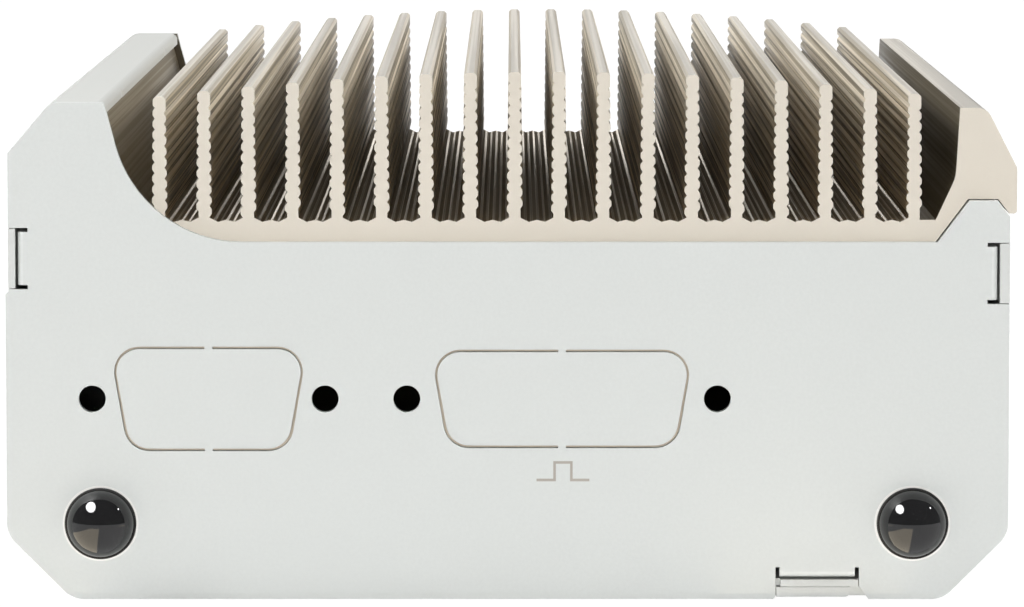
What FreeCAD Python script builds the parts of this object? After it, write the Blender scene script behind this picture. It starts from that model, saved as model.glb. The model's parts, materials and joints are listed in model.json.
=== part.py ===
import FreeCAD, Part
import math
import os
import re
import Sketcher
from FreeCAD import Placement, Rotation, Vector

# A small fanless computer for a control cabinet.
# A finned heat sink is the roof, a folded shell carries the sockets on its -X side, an outer cover
# closes the bottom and the +X side, and a flat panel with bent tabs closes each end.
# +Z is up, Y runs along the fins, and the origin is under the middle at the panels' bottom edges.

SIZES = {
    # The whole case.
    "case_length": 153.0,
    "overall_width": 108.4,
    "lip_overhang": 0.8,  # the heat sink's lip beyond the +X wall
    "panel_step": 0.3,  # the panels' lower edge beyond the -X wall
    # End panels: outline.
    "panel_sheet": 1.2,
    "step_height": 33.2,
    "corner_cut": 7.0,
    "corner_round": 3.0,
    "horn_height": 53.5,
    "horn_drop": 5.45,
    "horn_cut": 4.6,
    "horn_width": 10.3,
    "horn_lean": 14.8,  # degrees from upright
    "horn_round": 2.0,
    "saddle_height": 38.5,
    "saddle_straight": 4.7,  # left straight above the saddle's curve
    "ear_height": 42.95,
    "ear_inset": 4.35,
    "ear_width": 3.05,
    "ear_slope": 53.0,  # degrees from level
    # End panels: slots, bent tabs and the sheets' tongues in them.
    "left_slot_height": 36.75,
    "right_slot_height": 35.15,
    "side_slot_span": 6.6,
    "floor_slot_place": 32.9,
    "floor_slot_span": 9.0,
    "relief_width": 0.45,
    "relief_depth": 1.1,
    "tab_gap": 0.25,
    "tab_length": 8.0,
    "tab_round": 0.8,
    "tongue_gap": 0.1,
    "notch_slant": 1.0,
    # End panels: knock-outs for plug connectors, and antenna holes.
    "connector_height": 21.65,
    "small_knockout_place": 21.42,
    "small_knockout_width": 21.0,
    "small_knockout_rise": 11.0,
    "small_screw_spacing": 24.99,
    "large_knockout_place": 59.34,
    "large_knockout_width": 28.0,
    "large_knockout_rise": 10.35,
    "large_screw_spacing": 33.32,
    "knockout_slope": 10.0,  # degrees from upright
    "knockout_round": 2.6,
    "knockout_slit": 0.28,
    "knockout_bridge": 0.85,
    "jackscrew_hole": 2.9,
    "antenna_hole": 6.4,
    "antenna_height": 8.2,
    "left_antenna_inset": 9.75,
    "right_antenna_inset": 10.3,
    # Dome plugs.
    "dome_diameter": 7.7,
    "dome_rise": 3.5,
    "dome_flats": 4,
    "plug_gap": 0.1,
    "plug_depth": 3.2,
    # Folded sheets.
    "shell_sheet": 0.75,
    "cover_sheet": 1.05,
    "cover_recess": 0.24,
    "lap_gap": 0.05,
    "bend_round": 0.6,  # inside radius of each bend
    "lip_bend_round": 0.1,  # the same where the shell's flange turns down into its lip
    "lip_drop": 1.4,
    "floor_reach": 93.8,
    "cover_flange_width": 2.7,
    # Heat sink: base and walls.
    "base_underside": 37.7,
    "base_top": 40.6,
    "wall_setback": 0.9,  # the -X wall's hollow face behind the panels' edge
    "seat_gap": 0.1,
    "rail_underside": 40.6,
    "rail_width": 7.0,
    "wall_top": 52.85,
    "wall_inset": 5.35,
    "knee_height": 45.4,
    "knee_inset": 5.78,
    "foot_inset": 7.9,
    "knee_round": 4.0,
    "shoulder_inset": 2.5,
    "shoulder_round": 1.6,
    "lip_height": 46.4,
    "lip_underside": 41.5,
    "lip_round": 0.7,
    # Heat sink: fins.
    "fin_count": 18.0,
    "first_fin_inset": 16.2,
    "last_fin_inset": 10.22,
    "fin_thickness": 1.38,
    "fin_taper": 0.6,  # degrees on each side
    "rib_pitch": 1.17,
    "rib_depth": 0.24,
    "rib_crest": 0.45,
    "tip_straight": 1.2,
    "tip_bevel": 0.3,
    "root_rise": 0.45,
    "floor_bump": 0.22,
    "crown_height": 56.7,
    "crown_radius": 330.0,
    "crown_place": 4.0,
    # Main board, hung below the heat sink.
    "board_sheet": 1.6,
    "board_drop": 6.7,
    "board_edge_gap": 1.6,
    "board_width": 88.0,
    "board_end_gap": 4.5,
    "standoff_width": 5.0,
    "standoff_inset": 19.0,
    "standoff_reach": 61.0,
    "standoff_end_inset": 8.0,
    # Processor and its heat path.
    "processor_width": 24.0,
    "processor_rise": 1.3,
    "processor_place": -8.0,
    "heat_block_width": 40.0,
    "thermal_pad_sheet": 0.5,
    # Sockets on the -X side, hung from the board; places are along Y.
    "cutout_gap": 0.25,
    "mouth_overshoot": 1.0,
    "contact_inset": 1.0,
    "usb_width": 13.4,
    "usb_drop": 15.6,
    "usb_depth": 17.5,
    "usb_first_place": -44.6,
    "usb_pitch": 15.0,
    "usb_mouth_width": 12.0,
    "usb_mouth_rise": 5.2,
    "usb_mouth_pitch": 7.8,
    "usb_mouth_depth": 10.5,
    "usb_tongue_sheet": 1.9,
    "usb_tongue_gap": 0.5,
    "display_width": 18.6,
    "display_drop": 7.2,
    "display_depth": 15.0,
    "display_place": -12.3,
    "display_wall": 0.8,
    "display_mouth_depth": 9.0,
    "display_tongue_sheet": 1.6,
    "display_tongue_gap": 1.2,
    "ethernet_width": 15.9,
    "ethernet_drop": 13.4,
    "ethernet_depth": 21.3,
    "ethernet_first_place": 6.35,
    "ethernet_pitch": 17.4,
    "ethernet_mouth_width": 11.8,
    "ethernet_mouth_rise": 7.0,
    "ethernet_mouth_depth": 13.0,
    "latch_slot_width": 6.0,
    "latch_slot_rise": 2.8,
    "power_width": 14.6,
    "power_drop": 9.0,
    "power_depth": 12.0,
    "power_place": 58.4,
    "power_wall": 0.9,
    "power_mouth_depth": 8.4,
    "power_pin_pitch": 4.2,
    "power_pin_width": 1.0,
    # Power button and its switch.
    "button_width": 8.0,
    "button_rise": 4.4,
    "button_gap": 0.3,
    "button_drop": 4.6,
    "button_place": -61.3,
    "button_proud": 0.1,
    "button_flange": 1.0,
    "button_travel": 0.5,
    "switch_width": 6.0,
    "switch_depth": 3.8,
    "switch_drop": 7.4,
    "plunger_width": 3.0,
    # Status lamps.
    "lamp_width": 1.4,
    "lamp_rise": 2.6,
    "lamp_place": -53.7,
    "lamp_drop": 2.6,
    "lamp_pitch": 4.0,
    "lamp_holder_depth": 4.0,
    # Fasteners.
    "screw_thread": 3.0,
    "sink_share": 0.9,  # of the sheet's thickness
    "screw_length": 5.0,
    "cover_screw_inset": 11.5,
    "cover_screw_reach": 45.0,
    "nut_width": 6.0,
    "nut_rise": 2.6,
    "bracket_bore": 3.3,
    "bracket_nut_width": 7.0,
    "bracket_spacing": 40.0,
    "bracket_height": 22.5,
    # Pieces on the board.
    "memory_width": 67.6,
    "memory_depth": 30.0,
    "memory_sheet": 3.4,
    "memory_place": -22.0,
    "memory_socket_depth": 6.2,
    "memory_socket_drop": 5.2,
    "memory_inset": 2.0,
    "storage_width": 22.0,
    "storage_length": 48.0,
    "storage_sheet": 2.2,
    "storage_socket_depth": 6.0,
    "storage_socket_drop": 4.2,
    "storage_place": 46.0,
    "battery_diameter": 20.0,
    "battery_sheet": 3.2,
    "battery_holder_sheet": 2.0,
    "battery_place": 22.0,
    "coil_width": 7.0,
    "coil_rise": 4.0,
    "coil_pitch": 9.5,
    "capacitor_width": 4.0,
    "capacitor_rise": 2.0,
}

# Planes and places worked out from the sizes.
WORKED_OUT = {
    "half_width": "overall_width / 2",
    "left_face": "panel_step - half_width",
    "right_face": "half_width - lip_overhang",
    "end_face": "case_length / 2",
    "end_inside": "end_face - panel_sheet",
    "horn_tip": "left_face + horn_width",
    "saddle_left": "horn_tip + (horn_height - saddle_height) * tan(horn_lean * 1 deg)",
    "ear_run": "(ear_height - saddle_height) / tan(ear_slope * 1 deg)",
    "ear_outer_run": "ear_inset - ear_width",
    "ear_shoulder": "ear_height - ear_outer_run * tan(ear_slope * 1 deg)",
    "shell_inside": "left_face + shell_sheet",
    "cover_inside": "right_face - cover_sheet",
    "cover_top": "cover_recess + cover_sheet",
    "floor_underside": "cover_top + lap_gap",
    "floor_top": "floor_underside + shell_sheet",
    "left_tab_face": "shell_inside + tab_gap",
    "right_tab_face": "cover_inside - tab_gap",
    "floor_tab_face": "floor_top + tab_gap",
    "horn_shoulder": "horn_height - horn_drop",
    "saddle_rise": "(horn_height - saddle_height) / cos(horn_lean * 1 deg)",
    "saddle_round": "(saddle_rise - saddle_straight) / tan(45 deg - horn_lean / 2 * 1 deg)",
    "shoulder_turn": "atan(horn_cut / horn_drop) / 2",
    "crest_turn": "45 deg - shoulder_turn",
    "board_top": "base_underside - board_drop",
    "board_underside": "board_top - board_sheet",
    "board_left": "shell_inside + board_edge_gap",
    "board_right": "board_left + board_width",
    "button_height": "board_underside - button_drop",
    "sink_depth": "cover_sheet * sink_share",
}

document = FreeCAD.newDocument("fanless_computer")
sheet = document.addObject("Spreadsheet::Sheet", "Sizes")
finished = []


def fill_sheet():
    """Write each driving size into the sheet under its own name."""
    for row, (name, value) in enumerate(SIZES.items(), start=1):
        sheet.set(f"A{row}", name)
        sheet.set(f"B{row}", str(value))
        sheet.setAlias(f"B{row}", name)
    document.recompute()


def formula(text):
    """A size formula with every name spelt out for the expression engine."""

    def spelt_out(match):
        word = match.group(0)
        if word in WORKED_OUT:
            return "(" + formula(WORKED_OUT[word]) + ")"
        return "Sizes." + word if word in SIZES else word

    return re.sub(r"[a-z_]+", spelt_out, str(text))


def mm(text):
    """The value of a size formula."""
    value = sheet.evalExpression(formula(text))
    return float(getattr(value, "Value", value))


def bind(thing, path, text):
    """Tie one property of an object to a size formula."""
    thing.setExpression(path, formula(text))


# ---------------------------------------------------------------- sketched bodies


def new_body(label):
    """An empty body that will hold one sub-part."""
    body = document.addObject("PartDesign::Body", label)
    body.Label = label
    return body


def draw_loop(sketch, corners):
    """Draw a closed outline whose every corner is held by two bound distances."""
    first = sketch.GeometryCount
    spots = [Vector(mm(across), mm(up), 0) for across, up in corners]
    for start, end in zip(spots, spots[1:] + spots[:1]):
        sketch.addGeometry(Part.LineSegment(start, end), False)
    for index in range(len(corners)):
        following = (index + 1) % len(corners)
        sketch.addConstraint(Sketcher.Constraint("Coincident", first + index, 2, first + following, 1))
    for index, (across, up) in enumerate(corners):
        for kind, text in (("DistanceX", across), ("DistanceY", up)):
            edge = first + index
            number = sketch.addConstraint(Sketcher.Constraint(kind, -1, 1, edge, 1, mm(text)))
            sketch.renameConstraint(number, f"{kind}{edge}")
            bind(sketch, f"Constraints.{kind}{edge}", text)


def draw_circle(sketch, across, up, diameter):
    """Draw a circle with a bound centre and diameter."""
    edge = sketch.GeometryCount
    centre = Vector(mm(across), mm(up), 0)
    sketch.addGeometry(Part.Circle(centre, Vector(0, 0, 1), mm(diameter) / 2), False)
    for kind, text in (("DistanceX", across), ("DistanceY", up)):
        number = sketch.addConstraint(Sketcher.Constraint(kind, -1, 1, edge, 3, mm(text)))
        sketch.renameConstraint(number, f"{kind}{edge}")
        bind(sketch, f"Constraints.{kind}{edge}", text)
    number = sketch.addConstraint(Sketcher.Constraint("Diameter", edge, mm(diameter)))
    sketch.renameConstraint(number, f"Diameter{edge}")
    bind(sketch, f"Constraints.Diameter{edge}", diameter)


def new_sketch(body, role, name, loops=(), circles=()):
    """A sketch on one of the body's own origin planes."""
    sketch = body.newObject("Sketcher::SketchObject", name)
    plane = next(item for item in body.Origin.OriginFeatures if item.Role == role)
    sketch.AttachmentSupport = [(plane, "")]
    sketch.MapMode = "FlatFace"
    for corners in loops:
        draw_loop(sketch, corners)
    for across, up, diameter in circles:
        draw_circle(sketch, across, up, diameter)
    return sketch


def pad(body, sketch, length, symmetric=True):
    """Raise a sketch, both ways from its plane unless told otherwise."""
    feature = body.newObject("PartDesign::Pad", "pad")
    feature.Profile = sketch
    feature.Midplane = symmetric
    bind(feature, "Length", length)
    document.recompute()
    return feature


def pocket(body, sketch):
    """Cut a sketch through the whole body, both ways from its plane."""
    before = body.Shape.Volume
    feature = body.newObject("PartDesign::Pocket", "pocket")
    feature.Profile = sketch
    feature.Type = "ThroughAll"
    feature.Midplane = True
    document.recompute()
    if body.Shape.Volume >= before:
        raise ValueError(f"a pocket in {body.Label} cuts nothing")
    return feature


def edges_along(shape, axis, spots):
    """Names of the straight edges along an axis that pass through the given cross-section spots."""
    others = [index for index in range(3) if index != axis]
    names = []
    for number, edge in enumerate(shape.Edges, start=1):
        ends = [vertex.Point for vertex in edge.Vertexes]
        if len(ends) != 2 or any(abs(ends[0][i] - ends[1][i]) > 1e-6 for i in others):
            continue
        if any(max(abs(ends[0][i] - spot[n]) for n, i in enumerate(others)) < 1e-4 for spot in spots):
            names.append(f"Edge{number}")
    return names


def round_edges(body, spots, radius, axis=1):
    """Round the edges along an axis at the given corners, each corner a pair of formulas."""
    places = [(mm(across), mm(up)) for across, up in spots]
    names = edges_along(body.Shape, axis, places)
    if len(names) < len(places):
        raise ValueError(f"an edge to round is missing in {body.Label}")
    base = body.Tip
    feature = body.newObject("PartDesign::Fillet", "fillet")
    feature.Base = (base, names)
    bind(feature, "Radius", radius)
    document.recompute()
    return feature


def rectangle(low_across, high_across, low_up, high_up):
    """The four corners of an upright rectangle."""
    return [(low_across, low_up), (high_across, low_up), (high_across, high_up), (low_across, high_up)]


# ---------------------------------------------------------------- primitives


def box(name, x_range, y_range, z_range):
    """A block between bound planes."""
    block = document.addObject("Part::Box", name)
    for side, axis, (low, high) in zip(("Length", "Width", "Height"), "xyz", (x_range, y_range, z_range)):
        bind(block, side, f"({high}) - ({low})")
        bind(block, f"Placement.Base.{axis}", low)
    return block


def place(thing, start, direction):
    """Stand a turned piece at a bound point with its axis along a direction."""
    thing.Placement = Placement(Vector(0, 0, 0), Rotation(Vector(0, 0, 1), Vector(*direction)))
    for axis, text in zip("xyz", start):
        bind(thing, f"Placement.Base.{axis}", text)
    return thing


def rod(name, start, direction, diameter, length):
    """A cylinder from a bound point along a direction."""
    cylinder = document.addObject("Part::Cylinder", name)
    bind(cylinder, "Radius", f"({diameter}) / 2")
    bind(cylinder, "Height", length)
    return place(cylinder, start, direction)


def cone(name, start, direction, first_diameter, last_diameter, length):
    """A cone frustum from a bound point along a direction."""
    frustum = document.addObject("Part::Cone", name)
    bind(frustum, "Radius1", f"({first_diameter}) / 2")
    bind(frustum, "Radius2", f"({last_diameter}) / 2")
    bind(frustum, "Height", length)
    return place(frustum, start, direction)


def hexagon(name, start, direction, width, length):
    """A hexagonal bar, given its width across flats."""
    prism = document.addObject("Part::Prism", name)
    prism.Polygon = 6
    bind(prism, "Circumradius", f"({width}) / sqrt(3)")
    bind(prism, "Height", length)
    return place(prism, start, direction)


def cut(name, base, tool):
    """One piece with another taken out of it."""
    result = document.addObject("Part::Cut", name)
    result.Base = base
    result.Tool = tool
    return result


def fuse(name, pieces):
    """Several touching pieces made into one."""
    result = document.addObject("Part::MultiFuse", name)
    result.Shapes = pieces
    result.Refine = True
    return result


def group(name, pieces):
    """Like pieces kept as separate solids of one sub-part."""
    result = document.addObject("Part::Compound", name)
    result.Links = pieces
    return result


def finish(thing, label):
    """Name a finished sub-part and keep it for the export."""
    thing.Label = label
    finished.append(thing)
    return thing


# ---------------------------------------------------------------- end panels


def panel_outline():
    """The end panel's edge: cut corners, horn, saddle, ear and the three slots, clockwise from below."""
    low_edge = "left_face - panel_step"
    return [
        (f"{low_edge} + corner_cut", "0"),
        (low_edge, "corner_cut"),
        (low_edge, "step_height - panel_step"),
        ("left_face", "step_height"),
        *left_slot_corners(),
        ("left_face", "horn_shoulder"),
        ("left_face + horn_cut", "horn_height"),
        ("horn_tip", "horn_height"),
        ("saddle_left", "saddle_height"),
        ("right_face - ear_inset - ear_run", "saddle_height"),
        ("right_face - ear_inset", "ear_height"),
        ("right_face - ear_outer_run", "ear_height"),
        ("right_face", "ear_shoulder"),
        *right_slot_corners(),
        ("right_face", "corner_cut"),
        ("right_face - corner_cut", "0"),
        *floor_slot_corners(),
    ]


def left_slot_corners():
    """The notch for the shell's tongue, with a relief cut at each end of the bent tab."""
    low = "left_slot_height - side_slot_span / 2"
    high = "left_slot_height + side_slot_span / 2"
    deep = "left_tab_face + relief_depth"
    return [
        ("left_face", low),
        (deep, low),
        (deep, f"{low} + relief_width"),
        ("left_tab_face", f"{low} + relief_width"),
        ("left_tab_face", f"{high} - relief_width"),
        (deep, f"{high} - relief_width"),
        (deep, high),
        ("left_face", high),
    ]


def right_slot_corners():
    """The notch for the cover's tongue on the +X side, from the top down."""
    low = "right_slot_height - side_slot_span / 2"
    high = "right_slot_height + side_slot_span / 2"
    deep = "right_tab_face - relief_depth"
    return [
        ("right_face", high),
        (deep, high),
        (deep, f"{high} - relief_width"),
        ("right_tab_face", f"{high} - relief_width"),
        ("right_tab_face", f"{low} + relief_width"),
        (deep, f"{low} + relief_width"),
        (deep, low),
        ("right_face", low),
    ]


def floor_slot_corners():
    """The notch for the two floor tongues, open to the bottom edge, from +X to -X."""
    near = "floor_slot_place - floor_slot_span / 2"
    far = "floor_slot_place + floor_slot_span / 2"
    deep = "floor_tab_face + relief_depth"
    return [
        (f"{far} + notch_slant", "0"),
        (far, "cover_top + tongue_gap"),
        (far, deep),
        (f"{far} - relief_width", deep),
        (f"{far} - relief_width", "floor_tab_face"),
        (f"{near} + relief_width", "floor_tab_face"),
        (f"{near} + relief_width", deep),
        (near, deep),
        (near, "cover_recess"),
        (f"{near} - cover_recess", "0"),
    ]


def panel_tabs():
    """Cross-sections of the three tabs bent back from the slots."""
    side = "side_slot_span / 2 - relief_width"
    floor = "floor_slot_span / 2 - relief_width"
    return [
        rectangle(
            "left_tab_face",
            "left_tab_face + panel_sheet",
            f"left_slot_height - ({side})",
            f"left_slot_height + {side}",
        ),
        rectangle(
            "right_tab_face - panel_sheet",
            "right_tab_face",
            f"right_slot_height - ({side})",
            f"right_slot_height + {side}",
        ),
        rectangle(
            f"floor_slot_place - ({floor})",
            f"floor_slot_place + {floor}",
            "floor_tab_face",
            "floor_tab_face + panel_sheet",
        ),
    ]


def knockout_half(place_name, width, rise, side):
    """Corners of one half of a knock-out's slit, on the given side (+1 or -1) of its middle."""
    centre = f"left_face + {place_name}"
    lean = "tan(knockout_slope * 1 deg)"
    half_slit = "knockout_slit / 2"
    top = f"connector_height + {rise} / 2"
    bottom = f"connector_height - {rise} / 2"
    sign = "+" if side > 0 else "-"
    bridge = f"{centre} {sign} knockout_bridge / 2"
    upper = f"{width} / 2"
    lower = f"({width} / 2 - {rise} * {lean})"
    return [
        (bridge, f"{top} + {half_slit}"),
        (f"{centre} {sign} ({upper} + {half_slit})", f"{top} + {half_slit}"),
        (f"{centre} {sign} ({lower} + {half_slit})", f"{bottom} - {half_slit}"),
        (bridge, f"{bottom} - {half_slit}"),
        (bridge, f"{bottom} + {half_slit}"),
        (f"{centre} {sign} ({lower} - {half_slit})", f"{bottom} + {half_slit}"),
        (f"{centre} {sign} ({upper} - {half_slit})", f"{top} - {half_slit}"),
        (bridge, f"{top} - {half_slit}"),
    ]


def cut_knockout(body, kind):
    """Cut one D-shaped knock-out's slit, in two halves with a bridge above and below."""
    place_name = f"{kind}_knockout_place"
    halves = [
        knockout_half(place_name, f"{kind}_knockout_width", f"{kind}_knockout_rise", side)
        for side in (-1, 1)
    ]
    pocket(body, new_sketch(body, "XZ_Plane", f"{kind}_knockout", halves))
    outer = [half[index] for half in halves for index in (1, 2)]
    inner = [half[index] for half in halves for index in (5, 6)]
    round_edges(body, outer, "knockout_round + knockout_slit / 2")
    round_edges(body, inner, "knockout_round - knockout_slit / 2")


def make_end_panel(label, end):
    """A plain end panel with its three bent tabs; end is -1 for the front and +1 for the rear."""
    body = new_body(label)
    outline = new_sketch(body, "XZ_Plane", "outline", [panel_outline()])
    blank = pad(body, outline, "panel_sheet", symmetric=False)
    blank.Reversed = end < 0
    bind(outline, "AttachmentOffset.Base.z", f"{-end} * end_face")
    document.recompute()
    add_panel_tabs(body, end)
    round_panel_corners(body)
    return finish(body, label)


def cut_front_panel(body):
    """Cut the front panel's knock-outs, the screw holes beside them and the antenna holes."""
    holes = [(across, "antenna_height", "antenna_hole") for across in antenna_places()]
    for kind in ("small", "large"):
        cut_knockout(body, kind)
        for sign in "-+":
            across = f"left_face + {kind}_knockout_place {sign} {kind}_screw_spacing / 2"
            holes.append((across, "connector_height", "jackscrew_hole"))
    pocket(body, new_sketch(body, "XZ_Plane", "round_holes", circles=holes))


def antenna_places():
    """Where the two antenna holes stand across the front panel."""
    return ("left_face + left_antenna_inset", "right_face - right_antenna_inset")


def add_panel_tabs(body, end):
    """Bend three tabs back from the slots, and round the outside of each bend."""
    sketch = new_sketch(body, "XZ_Plane", "tabs", panel_tabs())
    bind(sketch, "AttachmentOffset.Base.z", f"{-end} * end_face")
    feature = pad(body, sketch, "tab_length + panel_sheet", symmetric=False)
    feature.Reversed = end < 0
    document.recompute()
    outside = f"{end} * end_face"
    for spots, axis in (
        ([("left_tab_face", outside), ("right_tab_face", outside)], 2),
        ([(outside, "floor_tab_face")], 0),
    ):
        round_edges(body, spots, "tab_round", axis)


def round_panel_corners(body):
    """Round the cut corners, the horn's shoulder and the long curve of the saddle."""
    corners = panel_outline()
    right = len(corners) - len(floor_slot_corners())
    round_edges(body, corners[0:2] + corners[right - 2 : right], "corner_round")
    round_edges(body, [("left_face + horn_cut", "horn_height")], "horn_round")
    round_edges(body, [("saddle_left", "saddle_height")], "saddle_round")


def make_dome_plug(label, across):
    """A glossy push-in plug with a domed head, closing one antenna hole."""
    body = new_body(label)
    sketch = body.newObject("Sketcher::SketchObject", "half_section")
    plane = next(item for item in body.Origin.OriginFeatures if item.Role == "XY_Plane")
    sketch.AttachmentSupport = [(plane, "")]
    sketch.MapMode = "FlatFace"
    draw_plug_section(sketch)
    turn = body.newObject("PartDesign::Revolution", "turn")
    turn.Profile = sketch
    turn.ReferenceAxis = (sketch, ["V_Axis"])
    turn.Angle = 360
    for axis, text in zip("xyz", (across, "-end_face", "antenna_height")):
        bind(body, f"Placement.Base.{axis}", text)
    return finish(body, label)


def draw_plug_section(sketch):
    """Half of the plug's section: a dome of narrow flats below the X axis, shank above it."""
    dome = mm("dome_diameter") / 2
    rise = mm("dome_rise")
    shank = mm("antenna_hole") / 2 - mm("plug_gap")
    depth = mm("panel_sheet + plug_depth")
    radius = (dome**2 + rise**2) / (2 * rise)
    sweep = math.asin(min(dome / radius, 1.0))
    steps = int(mm("dome_flats"))
    turns = [sweep * step / steps for step in range(steps)]
    arc = [Vector(radius * math.sin(turn), radius - rise - radius * math.cos(turn), 0) for turn in turns]
    corners = arc + [
        Vector(dome, 0, 0),
        Vector(shank, 0, 0),
        Vector(shank, depth, 0),
        Vector(0, depth, 0),
        Vector(0, -rise, 0),
    ]
    for start, finish_point in zip(corners, corners[1:]):
        sketch.addGeometry(Part.LineSegment(start, finish_point), False)


# ---------------------------------------------------------------- folded sheets


def mitre(turn, sheet_name):
    """How far a bend's inside corner is shifted along the sheet."""
    return f"{sheet_name} * tan({turn})"


def shell_section():
    """The inner shell's folded section: lip, top flange, wall, slanted corner and floor."""
    slope_sum = "left_face - panel_step + corner_cut + (cover_recess + cover_sheet + lap_gap) * sqrt(2)"
    wall_low = f"{slope_sum} - (left_face)"
    floor_start = f"{slope_sum} - (floor_underside)"
    turn = "22.5 deg"
    sheet_name = "shell_sheet"
    outside = [
        ("horn_tip", "horn_height - lip_drop"),
        ("horn_tip", "horn_height"),
        ("left_face + horn_cut", "horn_height"),
        ("left_face", "horn_shoulder"),
        ("left_face", wall_low),
        (floor_start, "floor_underside"),
        ("left_face + floor_reach", "floor_underside"),
    ]
    inside = [
        ("left_face + floor_reach", "floor_top"),
        (f"{floor_start} + {mitre(turn, sheet_name)}", "floor_top"),
        ("shell_inside", f"{wall_low} + {mitre(turn, sheet_name)}"),
        ("shell_inside", f"horn_shoulder - {mitre('shoulder_turn', sheet_name)}"),
        (f"left_face + horn_cut + {mitre('crest_turn', sheet_name)}", "horn_height - shell_sheet"),
        ("horn_tip - shell_sheet", "horn_height - shell_sheet"),
        ("horn_tip - shell_sheet", "horn_height - lip_drop"),
    ]
    return outside, inside


def cover_section():
    """The outer cover's folded section: slanted flange, bottom, slanted corner, wall and hooked top."""
    left_sum = "left_face - panel_step + corner_cut + cover_recess * sqrt(2)"
    right_sum = "right_face - corner_cut - cover_recess * sqrt(2)"
    turn = mitre("22.5 deg", "cover_sheet")
    top_turn = mitre("(90 deg - ear_slope * 1 deg) / 2", "cover_sheet")
    flat_turn = mitre("ear_slope * 1 deg / 2", "cover_sheet")
    flange_end = "left_face + cover_flange_width / 4"
    slant = "cover_sheet / sqrt(2)"
    outside = [
        (flange_end, f"{left_sum} - ({flange_end})"),
        (f"{left_sum} - cover_recess", "cover_recess"),
        (f"{right_sum} + cover_recess", "cover_recess"),
        ("right_face", f"right_face - ({right_sum})"),
        ("right_face", "ear_shoulder - seat_gap"),
        ("right_face - ear_outer_run", "ear_height - seat_gap"),
        ("right_face - ear_outer_run - cover_flange_width", "ear_height - seat_gap"),
    ]
    inside = [
        ("right_face - ear_outer_run - cover_flange_width", "ear_height - seat_gap - cover_sheet"),
        (f"right_face - ear_outer_run - {flat_turn}", "ear_height - seat_gap - cover_sheet"),
        ("cover_inside", f"ear_shoulder - seat_gap - {top_turn}"),
        ("cover_inside", f"right_face - ({right_sum}) + {turn}"),
        (f"{right_sum} + cover_recess - {turn}", "cover_top"),
        (f"{left_sum} - cover_recess + {turn}", "cover_top"),
        (f"{flange_end} + {slant}", f"{left_sum} - ({flange_end}) + {slant}"),
    ]
    return outside, inside


def round_bends(body, outside, inside, sheet_name, radius="bend_round"):
    """Give every bend of a folded sheet its inside and outside radius."""
    round_edges(body, outside, f"{radius} + {sheet_name}")
    round_edges(body, inside, radius)


def make_shell():
    """The inner shell: one sheet folded into the socket wall and the floor."""
    body = new_body("socket_shell")
    outside, inside = shell_section()
    pad(body, new_sketch(body, "XZ_Plane", "section", [outside + inside]), "2 * end_inside")
    round_bends(body, outside[1:2], inside[-2:-1], "shell_sheet", "lip_bend_round")
    round_bends(body, outside[2:-1], inside[1:-2], "shell_sheet")
    side = "side_slot_span / 2 - tongue_gap"
    near = "floor_slot_place - floor_slot_span / 2 + relief_width + tongue_gap"
    far = "floor_slot_place + floor_slot_span / 2 - tongue_gap"
    tongues = [
        rectangle("left_face", "shell_inside", f"left_slot_height - ({side})", f"left_slot_height + {side}"),
        rectangle(near, far, "floor_underside", "floor_top"),
    ]
    pad(body, new_sketch(body, "XZ_Plane", "tongues", tongues), "case_length")
    cutouts = socket_cutouts() + button_and_lamp_cutouts()
    pocket(body, new_sketch(body, "YZ_Plane", "cutouts", cutouts))
    floor_holes = [(across, along, "screw_thread") for across, along in cover_screw_places()]
    pocket(body, new_sketch(body, "XY_Plane", "floor_holes", circles=floor_holes))
    return finish(body, "socket_shell")


def cover_screw_places():
    """Where the cover is screwed up into the floor's nuts, as (x, y); its other side is hooked."""
    return [("left_face + cover_screw_inset", f"{end} * cover_screw_reach") for end in (-1, 1)]


def button_and_lamp_cutouts():
    """Openings in the socket wall for the power button and the two lamps."""
    openings = [around("button_place", "button_height", "button_width", "button_rise", "button_gap")]
    for height in lamp_heights():
        openings.append(around("lamp_place", height, "lamp_width", "lamp_rise", "tongue_gap"))
    return openings


def around(across, up, width, rise, gap):
    """A rectangle round a centre, wider than a piece by a gap on every side."""
    return rectangle(
        f"{across} - {width} / 2 - {gap}",
        f"{across} + {width} / 2 + {gap}",
        f"{up} - {rise} / 2 - {gap}",
        f"{up} + {rise} / 2 + {gap}",
    )


def lamp_heights():
    """Heights of the two status lamps below the board."""
    return [f"board_underside - lamp_drop - {row} * lamp_pitch" for row in (0, 1)]


def socket_cutouts():
    """Rectangular openings in the socket wall, one round each socket's face."""
    return [
        rectangle(
            f"{centre} - {width} / 2 - cutout_gap",
            f"{centre} + {width} / 2 + cutout_gap",
            f"board_underside - {drop} - cutout_gap",
            "board_underside + cutout_gap",
        )
        for centre, width, drop in socket_faces()
    ]


def socket_faces():
    """Each socket's place along the wall, with its width and its drop below the board."""
    usb = [(f"(usb_first_place + {row} * usb_pitch)", "usb_width", "usb_drop") for row in (0, 1)]
    ethernet = [
        (f"(ethernet_first_place + {row} * ethernet_pitch)", "ethernet_width", "ethernet_drop")
        for row in (0, 1, 2)
    ]
    others = [
        ("display_place", "display_width", "display_drop"),
        ("power_place", "power_width", "power_drop"),
    ]
    return usb + ethernet + others


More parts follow.
